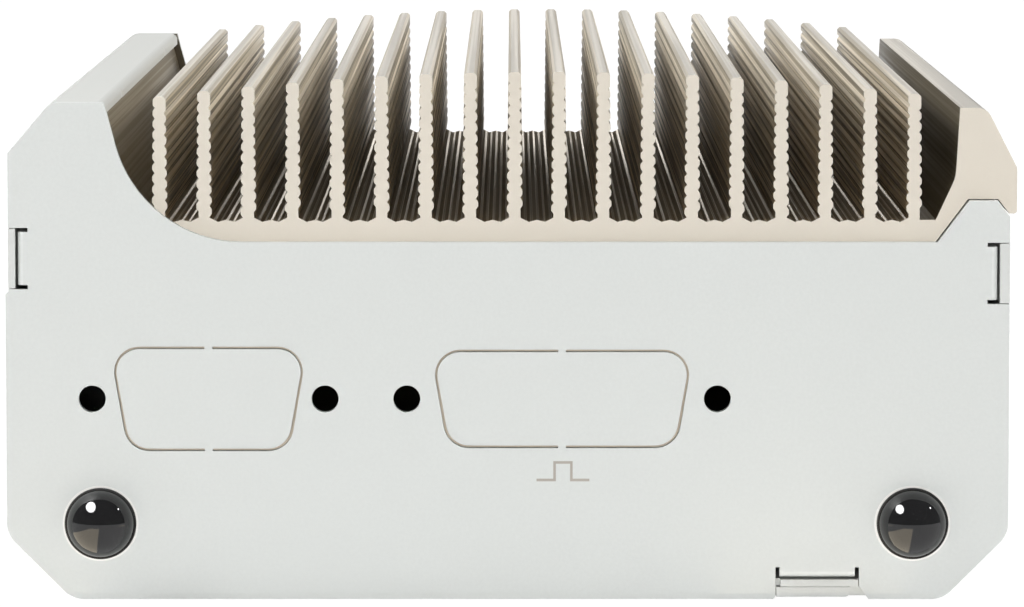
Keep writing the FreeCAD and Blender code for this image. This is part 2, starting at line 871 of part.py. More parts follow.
def make_cover():
    """The outer cover: one sheet folded into the bottom and the bracket wall."""
    body = new_body("outer_cover")
    outside, inside = cover_section()
    pad(body, new_sketch(body, "XZ_Plane", "section", [outside + inside]), "2 * end_inside")
    round_bends(body, outside[1:-1], inside[1:-1], "cover_sheet")
    side = "side_slot_span / 2 - tongue_gap"
    near = "floor_slot_place - floor_slot_span / 2 + tongue_gap"
    far = "floor_slot_place + floor_slot_span / 2 - notch_slant"
    wall = rectangle(
        "cover_inside", "right_face", f"right_slot_height - ({side})", f"right_slot_height + {side}"
    )
    bottom = rectangle(near, far, "cover_recess", "cover_top")
    pad(body, new_sketch(body, "XZ_Plane", "tongues", [wall, bottom]), "case_length")
    round_edges(body, [(far, "cover_recess")], "cover_sheet / 2")
    wall_holes = [(along, "bracket_height", "bracket_bore") for along in bracket_places()]
    pocket(body, new_sketch(body, "YZ_Plane", "wall_holes", circles=wall_holes))
    bottom_holes = [(across, along, "screw_thread") for across, along in cover_screw_places()]
    pocket(body, new_sketch(body, "XY_Plane", "bottom_holes", circles=bottom_holes))
    for across, along in cover_screw_places():
        sink_hole(body, across, along)
    return finish(body, "outer_cover")


def sink_hole(body, across, along):
    """Dish the underside of one screw hole for its flat head."""
    sink = body.newObject("PartDesign::SubtractiveCone", "sink")
    bind(sink, "Radius1", "screw_thread / 2 + sink_depth")
    bind(sink, "Radius2", "screw_thread / 2")
    bind(sink, "Height", "sink_depth")
    for letter, text in zip("xyz", (across, along, "cover_recess")):
        bind(sink, f"Placement.Base.{letter}", text)
    document.recompute()


def bracket_places():
    """Places along the +X wall of the two bracket holes."""
    return [f"{end} * bracket_spacing / 2" for end in (-1, 1)]


# ---------------------------------------------------------------- heat sink


class Outline:
    """A closed outline in the XZ plane, drawn one edge at a time."""

    def __init__(self, across, up):
        self.start = Vector(across, 0, up)
        self.here = self.start
        self.edges = []

    def line(self, across, up):
        """Draw a straight edge to a point."""
        there = Vector(across, 0, up)
        if there.distanceToPoint(self.here) > 1e-6:
            self.edges.append(Part.LineSegment(self.here, there).toShape())
            self.here = there

    def arc(self, via_across, via_up, across, up):
        """Draw a round edge through one point to another."""
        there = Vector(across, 0, up)
        self.edges.append(Part.Arc(self.here, Vector(via_across, 0, via_up), there).toShape())
        self.here = there

    def corner(self, across, up, radius, next_across, next_up):
        """Draw towards a corner and round it, on the way to the next point."""
        tip = Vector(across, 0, up)
        back = (self.here - tip).normalize()
        ahead = (Vector(next_across, 0, next_up) - tip).normalize()
        half = back.getAngle(ahead) / 2
        reach = radius / math.tan(half)
        start = tip + back * reach
        end = tip + ahead * reach
        toward = (back + ahead).normalize()
        middle = tip + toward * (radius / math.sin(half) - radius)
        self.line(start.x, start.z)
        self.arc(middle.x, middle.z, end.x, end.z)

    def face(self):
        """Close the outline and fill it."""
        self.line(self.start.x, self.start.z)
        return Part.Face(Part.Wire(self.edges))


def fin_places():
    """Centre and tip height of every fin; the tips follow a shallow crown."""
    count = int(round(mm("fin_count")))
    first = mm("left_face + first_fin_inset")
    last = mm("right_face - last_fin_inset")
    radius = mm("crown_radius")
    places = []
    for number in range(count):
        centre = first + (last - first) * number / max(count - 1, 1)
        offset = centre - mm("crown_place")
        places.append((centre, mm("crown_height") - radius + math.sqrt(radius**2 - offset**2)))
    return places


def rib_levels(tip, floor, lead):
    """Heights of the valleys between the ribs on one side of a fin, from the top down."""
    pitch = mm("rib_pitch")
    top = tip - mm("tip_straight") - lead
    count = int((top - floor - mm("root_rise")) / pitch)
    return [top - pitch * number for number in range(count + 1)]


def fin_half(level, tip):
    """Half of a fin's thickness over its ribs at one height."""
    return mm("fin_thickness") / 2 + max(tip - level, 0.0) * math.tan(math.radians(mm("fin_taper")))


def draw_ribs(outline, centre, tip, levels, side):
    """Draw ribs along one side of a fin, each a flat crest between two slopes."""
    depth = mm("rib_depth")
    crest = mm("rib_crest") / 2
    for start, end in zip(levels, levels[1:]):
        middle = (start + end) / 2
        toward = math.copysign(crest, end - start)
        for level in (middle - toward, middle + toward):
            outline.line(centre + side * fin_half(level, tip), level)
        outline.line(centre + side * (fin_half(end, tip) - depth), end)


def draw_fin(outline, centre, tip, floor):
    """Draw a fin: ribs up its -X side, a plain bevelled tip, staggered ribs down its +X side."""
    depth = mm("rib_depth")
    bevel = mm("tip_bevel")
    half = mm("fin_thickness") / 2
    rising = rib_levels(tip, floor, 0.0)[::-1]
    falling = rib_levels(tip, floor, mm("rib_pitch") / 2)
    outline.line(centre - fin_half(rising[0], tip) + depth, rising[0])
    draw_ribs(outline, centre, tip, rising, -1)
    outline.line(centre - half, rising[-1] + depth)
    outline.line(centre - half, tip - bevel)
    outline.line(centre - half + bevel, tip)
    outline.line(centre + half - bevel, tip)
    outline.line(centre + half, tip - bevel)
    outline.line(centre + half, falling[0] + depth)
    outline.line(centre + fin_half(falling[0], tip) - depth, falling[0])
    draw_ribs(outline, centre, tip, falling, 1)


def draw_channel(outline, left, left_tip, right, right_tip, floor):
    """Draw the channel floor between two fins: two shallow grooves with a bump between them."""
    start = left + fin_half(floor, left_tip) - mm("rib_depth")
    end = right - fin_half(floor, right_tip) + mm("rib_depth")
    quarter = (end - start) / 4
    outline.line(start, floor + mm("root_rise"))
    outline.line(start + quarter, floor)
    outline.line((start + end) / 2, floor + mm("floor_bump"))
    outline.line(end - quarter, floor)
    outline.line(end, floor + mm("root_rise"))


def draw_left_wall(outline):
    """Draw the -X side: rail, slanted shoulder under the shell's flange, and the hollow inner face."""
    gap = mm("seat_gap")
    face = mm("shell_inside") + gap
    shoulder = mm("horn_shoulder - shell_sheet * tan(shoulder_turn)")
    crest = mm("left_face + horn_cut + shell_sheet * tan(crest_turn)")
    ceiling = mm("horn_height - shell_sheet") - gap
    lip = mm("horn_tip - shell_sheet") - gap
    outline.line(mm("left_face + shell_sheet + rail_width"), mm("rail_underside"))
    outline.line(face, mm("rail_underside"))
    outline.line(face, shoulder - gap * math.tan(mm("shoulder_turn") * math.pi / 180))
    outline.line(crest + gap, ceiling)
    relief = mm("bend_round") / 2
    outline.line(lip - relief, ceiling)
    outline.line(lip, ceiling - relief)
    lean = math.radians(mm("horn_lean"))
    top = mm("horn_height - lip_drop") - gap
    setback = mm("wall_setback") / math.cos(lean)
    edge = mm("horn_tip") + (mm("horn_height") - top) * math.tan(lean) - setback
    outline.line(lip, top)
    outline.line(edge, top)
    radius = mm("saddle_round") + mm("wall_setback")
    centre = saddle_centre()
    outline.line(centre.x - radius * math.cos(lean), centre.z - radius * math.sin(lean))
    return centre, radius, lean


def saddle_centre():
    """The centre of the long curve that the panels and the hollow wall share."""
    radius = mm("saddle_round")
    half_turn = math.radians((90 - mm("horn_lean")) / 2)
    return Vector(mm("saddle_left") + radius * math.tan(half_turn), 0, mm("saddle_height") + radius)


def draw_hollow(outline, centre, radius, lean, level):
    """Follow the hollow wall's curve down to a level, where the first fin stands on it."""
    end = math.asin(min((centre.z - level) / radius, 1.0))
    middle = (lean + end) / 2
    outline.arc(
        centre.x - radius * math.cos(middle),
        centre.z - radius * math.sin(middle),
        centre.x - radius * math.cos(end),
        level,
    )


def draw_right_wall(outline):
    """Draw the +X side: leaning inner face, rounded shoulder, overhanging lip and the cover's groove."""
    right = mm("right_face")
    half = mm("half_width")
    gap = mm("seat_gap")
    floor = mm("base_top + floor_bump")
    slope = math.tan(math.radians(mm("ear_slope")))
    knee = (right - mm("knee_inset"), mm("knee_height"))
    top = (right - mm("wall_inset"), mm("wall_top"))
    foot = (right - mm("foot_inset"), floor)
    shoulder = (right - mm("shoulder_inset"), mm("wall_top"))
    lip = (half, mm("lip_height"))
    groove = mm("ear_height") + gap
    outline.line(*foot)
    outline.corner(*knee, mm("knee_round"), *top)
    outline.line(*top)
    outline.corner(*shoulder, mm("shoulder_round"), *lip)
    outline.corner(*lip, mm("lip_round"), half, mm("lip_underside"))
    outer = right - mm("ear_outer_run") + gap
    inner = right - mm("ear_inset") - gap
    tip = outer + (groove - mm("lip_underside")) / slope
    outline.corner(half, mm("lip_underside"), mm("lip_round") / 2, tip, mm("lip_underside"))
    outline.line(tip, mm("lip_underside"))
    outline.line(outer, groove)
    outline.line(inner, groove)
    outline.line(inner - (groove - mm("base_underside")) / slope, mm("base_underside"))


def heat_sink_face():
    """The heat sink's whole section, clockwise from the base's underside."""
    floor = mm("base_top")
    places = fin_places()
    outline = Outline(mm("saddle_left"), mm("base_underside"))
    centre, radius, lean = draw_left_wall(outline)
    first, first_tip = places[0]
    level = centre.z - math.sqrt(radius**2 - (centre.x - first + fin_half(floor, first_tip)) ** 2)
    draw_hollow(outline, centre, radius, lean, level)
    for number, (middle, tip) in enumerate(places):
        draw_fin(outline, middle, tip, max(level, floor) if number == 0 else floor)
        if number + 1 < len(places):
            draw_channel(outline, middle, tip, *places[number + 1], floor)
    last, last_tip = places[-1]
    outline.line(last + fin_half(floor, last_tip) - mm("rib_depth"), floor + mm("floor_bump"))
    draw_right_wall(outline)
    return outline.face()


def make_heat_sink():
    """The heat sink: one extrusion as long as the room between the end panels."""
    length = mm("2 * end_inside")
    feature = document.addObject("Part::Feature", "heat_sink")
    feature.Shape = heat_sink_face().extrude(Vector(0, length, 0))
    feature.Placement = Placement(Vector(0, -length / 2, 0), Rotation())
    return finish(feature, "heat_sink")


# ---------------------------------------------------------------- board and heat path


def make_board():
    """The main board."""
    board = box(
        "board",
        ("board_left", "board_right"),
        ("board_end_gap - end_face", "end_face - board_end_gap"),
        ("board_underside", "board_top"),
    )
    return finish(board, "main_board")


def board_fixing_places():
    """The board's four fixings, as (x, y)."""
    sides = ("board_left + standoff_inset", "board_right - standoff_end_inset")
    return [(across, f"{end} * standoff_reach") for across in sides for end in (-1, 1)]


def square_block(name, width, low, high):
    """A square block centred over the processor between two heights."""
    return box(
        name,
        (f"-{width} / 2", f"{width} / 2"),
        (f"processor_place - {width} / 2", f"processor_place + {width} / 2"),
        (low, high),
    )


def make_heat_path():
    """The processor, the soft pad on it, and the block that joins it to the heat sink."""
    top = "board_top + processor_rise"
    finish(square_block("processor", "processor_width", "board_top", top), "processor")
    pad_top = f"{top} + thermal_pad_sheet"
    finish(square_block("thermal_pad", "processor_width", top, pad_top), "thermal_pad")
    finish(square_block("heat_block", "heat_block_width", pad_top, "base_underside"), "heat_block")


def make_board_fixings():
    """Hexagonal standoffs between the base and the board, and a nut below the board under each."""
    bars = []
    nuts = []
    for number, (across, along) in enumerate(board_fixing_places()):
        bars.append(hexagon(f"standoff_{number}", (across, along, "board_top"), (0, 0, 1),
                            "standoff_width", "board_drop"))
        nuts.append(hexagon(f"board_nut_{number}", (across, along, "board_underside"), (0, 0, -1),
                            "standoff_width", "nut_rise"))
    finish(group("board_standoffs", bars), "board_standoffs")
    finish(group("board_nuts", nuts), "board_nuts")


# ---------------------------------------------------------------- sockets


def socket_block(name, centre, width, drop, depth):
    """A socket's outer block, flush with the wall and hung from the board."""
    return box(
        name,
        ("left_face", f"left_face + {depth}"),
        (f"{centre} - {width} / 2", f"{centre} + {width} / 2"),
        (f"board_underside - {drop}", "board_underside"),
    )


def make_usb_socket(number):
    """A stacked pair of USB ports: two mouths, each with a flat tongue."""
    label = f"usb_socket_{number + 1}"
    centre = f"(usb_first_place + {number} * usb_pitch)"
    shell = socket_block(f"{label}_block", centre, "usb_width", "usb_drop", "usb_depth")
    mouths = []
    tongues = []
    for level in (-1, 1):
        height = f"board_underside - usb_drop / 2 + {level} * usb_mouth_pitch / 2"
        side = (f"{centre} - usb_mouth_width / 2", f"{centre} + usb_mouth_width / 2")
        mouths.append(box(
            f"{label}_mouth_{level + 1}",
            ("left_face - mouth_overshoot", "left_face + usb_mouth_depth"),
            side,
            (f"{height} - usb_mouth_rise / 2", f"{height} + usb_mouth_rise / 2"),
        ))
        tongues.append(box(
            f"{label}_tongue_{level + 1}",
            ("left_face + contact_inset", "left_face + usb_mouth_depth"),
            (f"{side[0]} + usb_tongue_gap", f"{side[1]} - usb_tongue_gap"),
            (height, f"{height} + usb_tongue_sheet"),
        ))
    hollow = cut(f"{label}_hollow", shell, fuse(f"{label}_mouths", mouths))
    return finish(fuse(label, [hollow, *tongues]), label)


def make_ethernet_socket(number):
    """A network socket: a plug mouth with a narrower latch slot above it."""
    label = f"ethernet_socket_{number + 1}"
    centre = f"(ethernet_first_place + {number} * ethernet_pitch)"
    shell = socket_block(f"{label}_block", centre, "ethernet_width", "ethernet_drop", "ethernet_depth")
    bottom = "board_underside - ethernet_drop / 2 - ethernet_mouth_rise / 2 - latch_slot_rise / 2"
    reach = ("left_face - mouth_overshoot", "left_face + ethernet_mouth_depth")
    mouth = box(
        f"{label}_mouth",
        reach,
        (f"{centre} - ethernet_mouth_width / 2", f"{centre} + ethernet_mouth_width / 2"),
        (bottom, f"{bottom} + ethernet_mouth_rise"),
    )
    latch = box(
        f"{label}_latch",
        reach,
        (f"{centre} - latch_slot_width / 2", f"{centre} + latch_slot_width / 2"),
        (bottom, f"{bottom} + ethernet_mouth_rise + latch_slot_rise"),
    )
    return finish(cut(label, shell, fuse(f"{label}_opening", [mouth, latch])), label)


def make_display_socket():
    """The display socket: a wide flat mouth round a thin tongue."""
    label = "display_socket"
    shell = socket_block(f"{label}_block", "display_place", "display_width", "display_drop", "display_depth")
    half = "display_width / 2 - display_wall"
    mouth = box(
        f"{label}_mouth",
        ("left_face - mouth_overshoot", "left_face + display_mouth_depth"),
        (f"display_place - ({half})", f"display_place + {half}"),
        ("board_underside - display_drop + display_wall", "board_underside - display_wall"),
    )
    middle = "board_underside - display_drop / 2"
    tongue = box(
        f"{label}_tongue",
        ("left_face + contact_inset", "left_face + display_mouth_depth"),
        (
            f"display_place - ({half}) + display_tongue_gap",
            f"display_place + {half} - display_tongue_gap",
        ),
        (f"{middle} - display_tongue_sheet / 2", f"{middle} + display_tongue_sheet / 2"),
    )
    return finish(fuse(label, [cut(f"{label}_hollow", shell, mouth), tongue]), label)


def make_power_socket():
    """The power inlet: a three-pin header for a screw-terminal plug."""
    label = "power_socket"
    shell = socket_block(f"{label}_block", "power_place", "power_width", "power_drop", "power_depth")
    half = "power_width / 2 - power_wall"
    mouth = box(
        f"{label}_mouth",
        ("left_face - mouth_overshoot", "left_face + power_mouth_depth"),
        (f"power_place - ({half})", f"power_place + {half}"),
        ("board_underside - power_drop + power_wall", "board_underside - power_wall"),
    )
    middle = "board_underside - power_drop / 2"
    pins = [
        box(
            f"{label}_pin_{step + 1}",
            ("left_face + contact_inset", "left_face + power_mouth_depth"),
            (
                f"power_place + {step} * power_pin_pitch - power_pin_width / 2",
                f"power_place + {step} * power_pin_pitch + power_pin_width / 2",
            ),
            (f"{middle} - power_pin_width / 2", f"{middle} + power_pin_width / 2"),
        )
        for step in (-1, 0, 1)
    ]
    return finish(fuse(label, [cut(f"{label}_hollow", shell, mouth), *pins]), label)


# ---------------------------------------------------------------- button and lamps


def button_block(name, low, high, margin):
    """A block on the power button's axis, wider than its cap by a margin on every side."""
    return box(
        name,
        (low, high),
        (f"button_place - button_width / 2 - {margin}", f"button_place + button_width / 2 + {margin}"),
        (f"button_height - button_rise / 2 - {margin}", f"button_height + button_rise / 2 + {margin}"),
    )


def make_power_button():
    """The power button: a flat cap, and behind the wall the flange that keeps it in."""
    back = "shell_inside + button_gap"
    cap = button_block("button_cap", "left_face - button_proud", back, "0")
    flange = button_block("button_back", back, f"{back} + button_flange", "button_flange")
    return finish(fuse("power_button", [cap, flange]), "power_button")


def plunger_range(centre, margin):
    """The square plunger's extent about one centre, with a margin on both sides."""
    return (f"{centre} - plunger_width / 2 - {margin}", f"{centre} + plunger_width / 2 + {margin}")


def make_power_switch():
    """The switch behind the button, and the plunger that the button's flange pushes."""
    back = "shell_inside + button_gap + button_flange"
    front = f"{back} + button_travel + button_gap"
    block = box(
        "switch_block",
        (front, f"{front} + switch_depth"),
        ("button_place - switch_width / 2", "button_place + switch_width / 2"),
        ("board_underside - switch_drop", "board_underside"),
    )
    room = box(
        "switch_room",
        (f"{front} - mouth_overshoot", f"{front} + switch_depth / 2 + button_travel + button_gap"),
        plunger_range("button_place", "button_gap"),
        plunger_range("button_height", "button_gap"),
    )
    finish(cut("power_switch", block, room), "power_switch")
    plunger = box(
        "switch_plunger",
        (back, f"{front} + switch_depth / 2"),
        plunger_range("button_place", "0"),
        plunger_range("button_height", "0"),
    )
    finish(plunger, "switch_plunger")


def make_lamps():
    """Two lamps: clear bars through the wall, held by one block under the board."""
    front = "shell_inside + lap_gap"
    holder = box(
        "lamp_holder",
        (front, f"{front} + lamp_holder_depth"),
        ("lamp_place - lamp_width", "lamp_place + lamp_width"),
        ("board_underside - lamp_drop - lamp_pitch - lamp_rise", "board_underside"),
    )
    finish(holder, "lamp_holder")
    for name, height in zip(("upper", "lower"), lamp_heights()):
        lens = box(
            f"{name}_lens",
            ("left_face", front),
            ("lamp_place - lamp_width / 2", "lamp_place + lamp_width / 2"),
            (f"{height} - lamp_rise / 2", f"{height} + lamp_rise / 2"),
        )
        finish(lens, f"{name}_status_lamp")


# ---------------------------------------------------------------- fasteners


def make_cover_screws():
    """Flat-headed screws that hold the cover to the floor's nuts."""
    screws = []
    for number, (across, along) in enumerate(cover_screw_places()):
        name = f"cover_screw_{number}"
        start = (across, along, "cover_recess")
        head = cone(f"{name}_head", start, (0, 0, 1), "screw_thread + 2 * sink_depth",
                    "screw_thread", "sink_depth")
        shank = rod(f"{name}_shank", start, (0, 0, 1), "screw_thread", "screw_length")
        screws.append(fuse(name, [head, shank]))
    finish(group("cover_screws", screws), "cover_screws")


def bored_nut(name, start, direction, width, thread):
    """A hexagonal nut with its thread hole."""
    block = hexagon(f"{name}_block", start, direction, width, "nut_rise")
    bore = rod(f"{name}_bore", start, direction, thread, "nut_rise")
    return cut(name, block, bore)


def make_nuts():
    """Pressed nuts: on the floor for the cover's screws, and behind the +X wall for a bracket."""
    cover = [
        bored_nut(f"cover_nut_{number}", (across, along, "floor_top"), (0, 0, 1), "nut_width", "screw_thread")
        for number, (across, along) in enumerate(cover_screw_places())
    ]
    finish(group("cover_nuts", cover), "cover_nuts")
    bracket = [
        bored_nut(f"bracket_nut_{number}", ("cover_inside", along, "bracket_height"), (-1, 0, 0),
                  "bracket_nut_width", "bracket_bore")
        for number, along in enumerate(bracket_places())
    ]
    finish(group("bracket_nuts", bracket), "bracket_nuts")


# ---------------------------------------------------------------- pieces on the board


def make_memory():
    """The memory module and its socket, under the board's +X edge."""
    socket_right = "board_right - memory_inset"
    socket_left = f"{socket_right} - memory_socket_depth"
    side = ("memory_place - memory_width / 2", "memory_place + memory_width / 2")
    bottom = "board_underside - memory_socket_drop"
    socket = box("memory_socket", (socket_left, socket_right), side, (bottom, "board_underside"))
    finish(socket, "memory_socket")
    module = box(
        "memory_module",
        (f"{socket_left} - memory_depth", socket_left),
        side,
        (bottom, f"{bottom} + memory_sheet"),
    )
    finish(module, "memory_module")


def make_storage():
    """The solid-state storage module and its socket, across the board."""
    socket_right = "board_right - memory_inset"
    socket_left = f"{socket_right} - storage_socket_depth"
    side = ("storage_place - storage_width / 2", "storage_place + storage_width / 2")
    bottom = "board_underside - storage_socket_drop"
    socket = box("storage_socket", (socket_left, socket_right), side, (bottom, "board_underside"))
    finish(socket, "storage_socket")
    module = box(
        "storage_module",
        (f"{socket_left} - storage_length", socket_left),
        side,
        (bottom, f"{bottom} + storage_sheet"),
    )
    finish(module, "storage_module")


def make_battery():
    """The clock battery and its flat holder, under the board."""
    centre = "(board_left + board_width / 3)"
    bottom = "board_underside - battery_holder_sheet"
    half = "battery_diameter / 2"
    holder = box(
        "battery_holder",
        (f"{centre} - {half}", f"{centre} + {half}"),
        (f"battery_place - {half}", f"battery_place + {half}"),
        (bottom, "board_underside"),
    )
    finish(holder, "battery_holder")
    cell = rod("battery_cell", (centre, "battery_place", bottom), (0, 0, -1), "battery_diameter",
               "battery_sheet")
    finish(cell, "clock_battery")


def make_power_parts():
    """Coils and capacitors on the board's upper side, beside the power inlet."""
    coils = []
    capacitors = []
    coil_row = "standoff_reach - standoff_width - coil_width"
    for step in (0, 1, 2):
        across = f"board_left + coil_pitch * {step + 1}"
        coils.append(box(
            f"coil_{step}",
            (across, f"{across} + coil_width"),
            (coil_row, f"{coil_row} + coil_width"),
            ("board_top", "board_top + coil_rise"),
        ))
        capacitors.append(box(
            f"capacitor_{step}",
            (across, f"{across} + coil_width"),
            (f"{coil_row} - capacitor_width * 2", f"{coil_row} - capacitor_width"),
            ("board_top", "board_top + capacitor_rise"),
        ))
    finish(group("power_coils", coils), "power_coils")
    finish(group("capacitors", capacitors), "capacitors")


def check_and_write():
    """Stop on any failed object or bad solid, then write one file for each sub-part."""
    document.recompute()
    for thing in document.Objects:
        if "Invalid" in thing.State or "Error" in thing.State:
            raise ValueError(f"{thing.Label} failed: {thing.State}")
    for thing in finished:
        if thing.Shape.isNull() or not thing.Shape.isValid():
            raise ValueError(f"{thing.Label} has no sound shape")
    os.makedirs("parts", exist_ok=True)
    for thing in finished:
        thing.Shape.exportStep(f"parts/{thing.Label}.step")


def build():
    """Make every sub-part and write it out."""
    fill_sheet()
    make_heat_sink()
    front = make_end_panel("front_end_panel", -1)
    cut_front_panel(front)
    make_end_panel("rear_end_panel", 1)
    for side, across in zip(("left", "right"), antenna_places()):
        make_dome_plug(f"{side}_antenna_plug", across)
    make_shell()
    make_cover()
    make_board()
    make_heat_path()
    make_board_fixings()
    for number in (0, 1):
        make_usb_socket(number)
    for number in (0, 1, 2):
        make_ethernet_socket(number)
    make_display_socket()
    make_power_socket()
    make_power_button()
    make_power_switch()
    make_lamps()
    make_cover_screws()
    make_nuts()
    make_memory()
    make_storage()
    make_battery()
    make_power_parts()
    check_and_write()


build()
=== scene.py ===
"""Dress a packed fanless industrial computer and put it on a plain studio floor.

The folded sheets, end panels and ribbed heat sink are refined copies of the solids, with softened
edges. The plugs are shown as true domes, each with a collar and a pale ring painted as a light
halo. Network contacts, plates behind the front panel's slits and a small printed mark are added,
and every piece gets its finish; some finishes paint light and shade into their colours.
"""

import json
import logging
import math
from dataclasses import dataclass, field
from enum import Enum
from typing import Callable, Iterable, Optional, Sequence, Union

import bpy
from mathutils import Matrix, Vector

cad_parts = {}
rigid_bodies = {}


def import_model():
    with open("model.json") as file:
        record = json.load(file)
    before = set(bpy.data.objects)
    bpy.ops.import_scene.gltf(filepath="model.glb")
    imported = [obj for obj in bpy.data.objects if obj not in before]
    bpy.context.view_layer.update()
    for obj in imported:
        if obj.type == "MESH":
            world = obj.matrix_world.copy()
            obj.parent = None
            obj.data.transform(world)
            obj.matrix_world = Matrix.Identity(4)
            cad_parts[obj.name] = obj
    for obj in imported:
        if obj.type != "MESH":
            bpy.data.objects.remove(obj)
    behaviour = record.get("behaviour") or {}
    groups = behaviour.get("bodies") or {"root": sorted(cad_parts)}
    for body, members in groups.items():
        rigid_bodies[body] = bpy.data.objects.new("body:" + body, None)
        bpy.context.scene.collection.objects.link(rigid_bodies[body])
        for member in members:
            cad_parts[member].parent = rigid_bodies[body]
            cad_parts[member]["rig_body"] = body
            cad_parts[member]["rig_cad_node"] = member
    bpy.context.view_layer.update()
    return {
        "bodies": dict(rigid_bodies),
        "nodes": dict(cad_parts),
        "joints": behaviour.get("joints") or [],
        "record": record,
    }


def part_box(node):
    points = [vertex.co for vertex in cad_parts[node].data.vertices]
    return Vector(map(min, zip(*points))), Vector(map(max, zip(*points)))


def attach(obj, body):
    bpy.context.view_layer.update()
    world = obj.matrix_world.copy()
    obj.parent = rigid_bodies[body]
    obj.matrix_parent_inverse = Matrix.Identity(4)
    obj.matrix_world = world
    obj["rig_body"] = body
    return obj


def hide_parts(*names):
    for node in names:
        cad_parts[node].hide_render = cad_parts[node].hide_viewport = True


LOG = logging.getLogger("fanless_computer")
MM = 0.001
Colour = tuple[float, float, float]
Number = Union[float, "Signal"]


class BodyName(Enum):
    """The rigid bodies a piece can ride on."""

    CASE = "case"
    BUTTON = "button"


class Way(Enum):
    """Directions on the front panel's face that a printed stroke can take."""

    RIGHT = (1.0, 0.0, 0.0)
    UP = (0.0, 0.0, 1.0)
    DOWN = (0.0, 0.0, -1.0)


# ------------------------------------------------------------------------------ shader maths


class Signal:
    """One number of a shader, so that shader maths reads as arithmetic."""

    def __init__(self, graph: "Graph", socket: bpy.types.NodeSocket) -> None:
        """Keep the graph and the output socket that carries the number."""
        self.graph = graph
        self.socket = socket

    def __add__(self, other: Number) -> "Signal":
        """Add a number or signal."""
        return self.graph.maths("ADD", self, other)

    __radd__ = __add__

    def __mul__(self, other: Number) -> "Signal":
        """Multiply by a number or signal."""
        return self.graph.maths("MULTIPLY", self, other)

    __rmul__ = __mul__

    def __sub__(self, other: Number) -> "Signal":
        """Subtract a number or signal."""
        return self.graph.maths("SUBTRACT", self, other)

    def __rsub__(self, other: Number) -> "Signal":
        """Subtract this signal from a number."""
        return self.graph.maths("SUBTRACT", other, self)


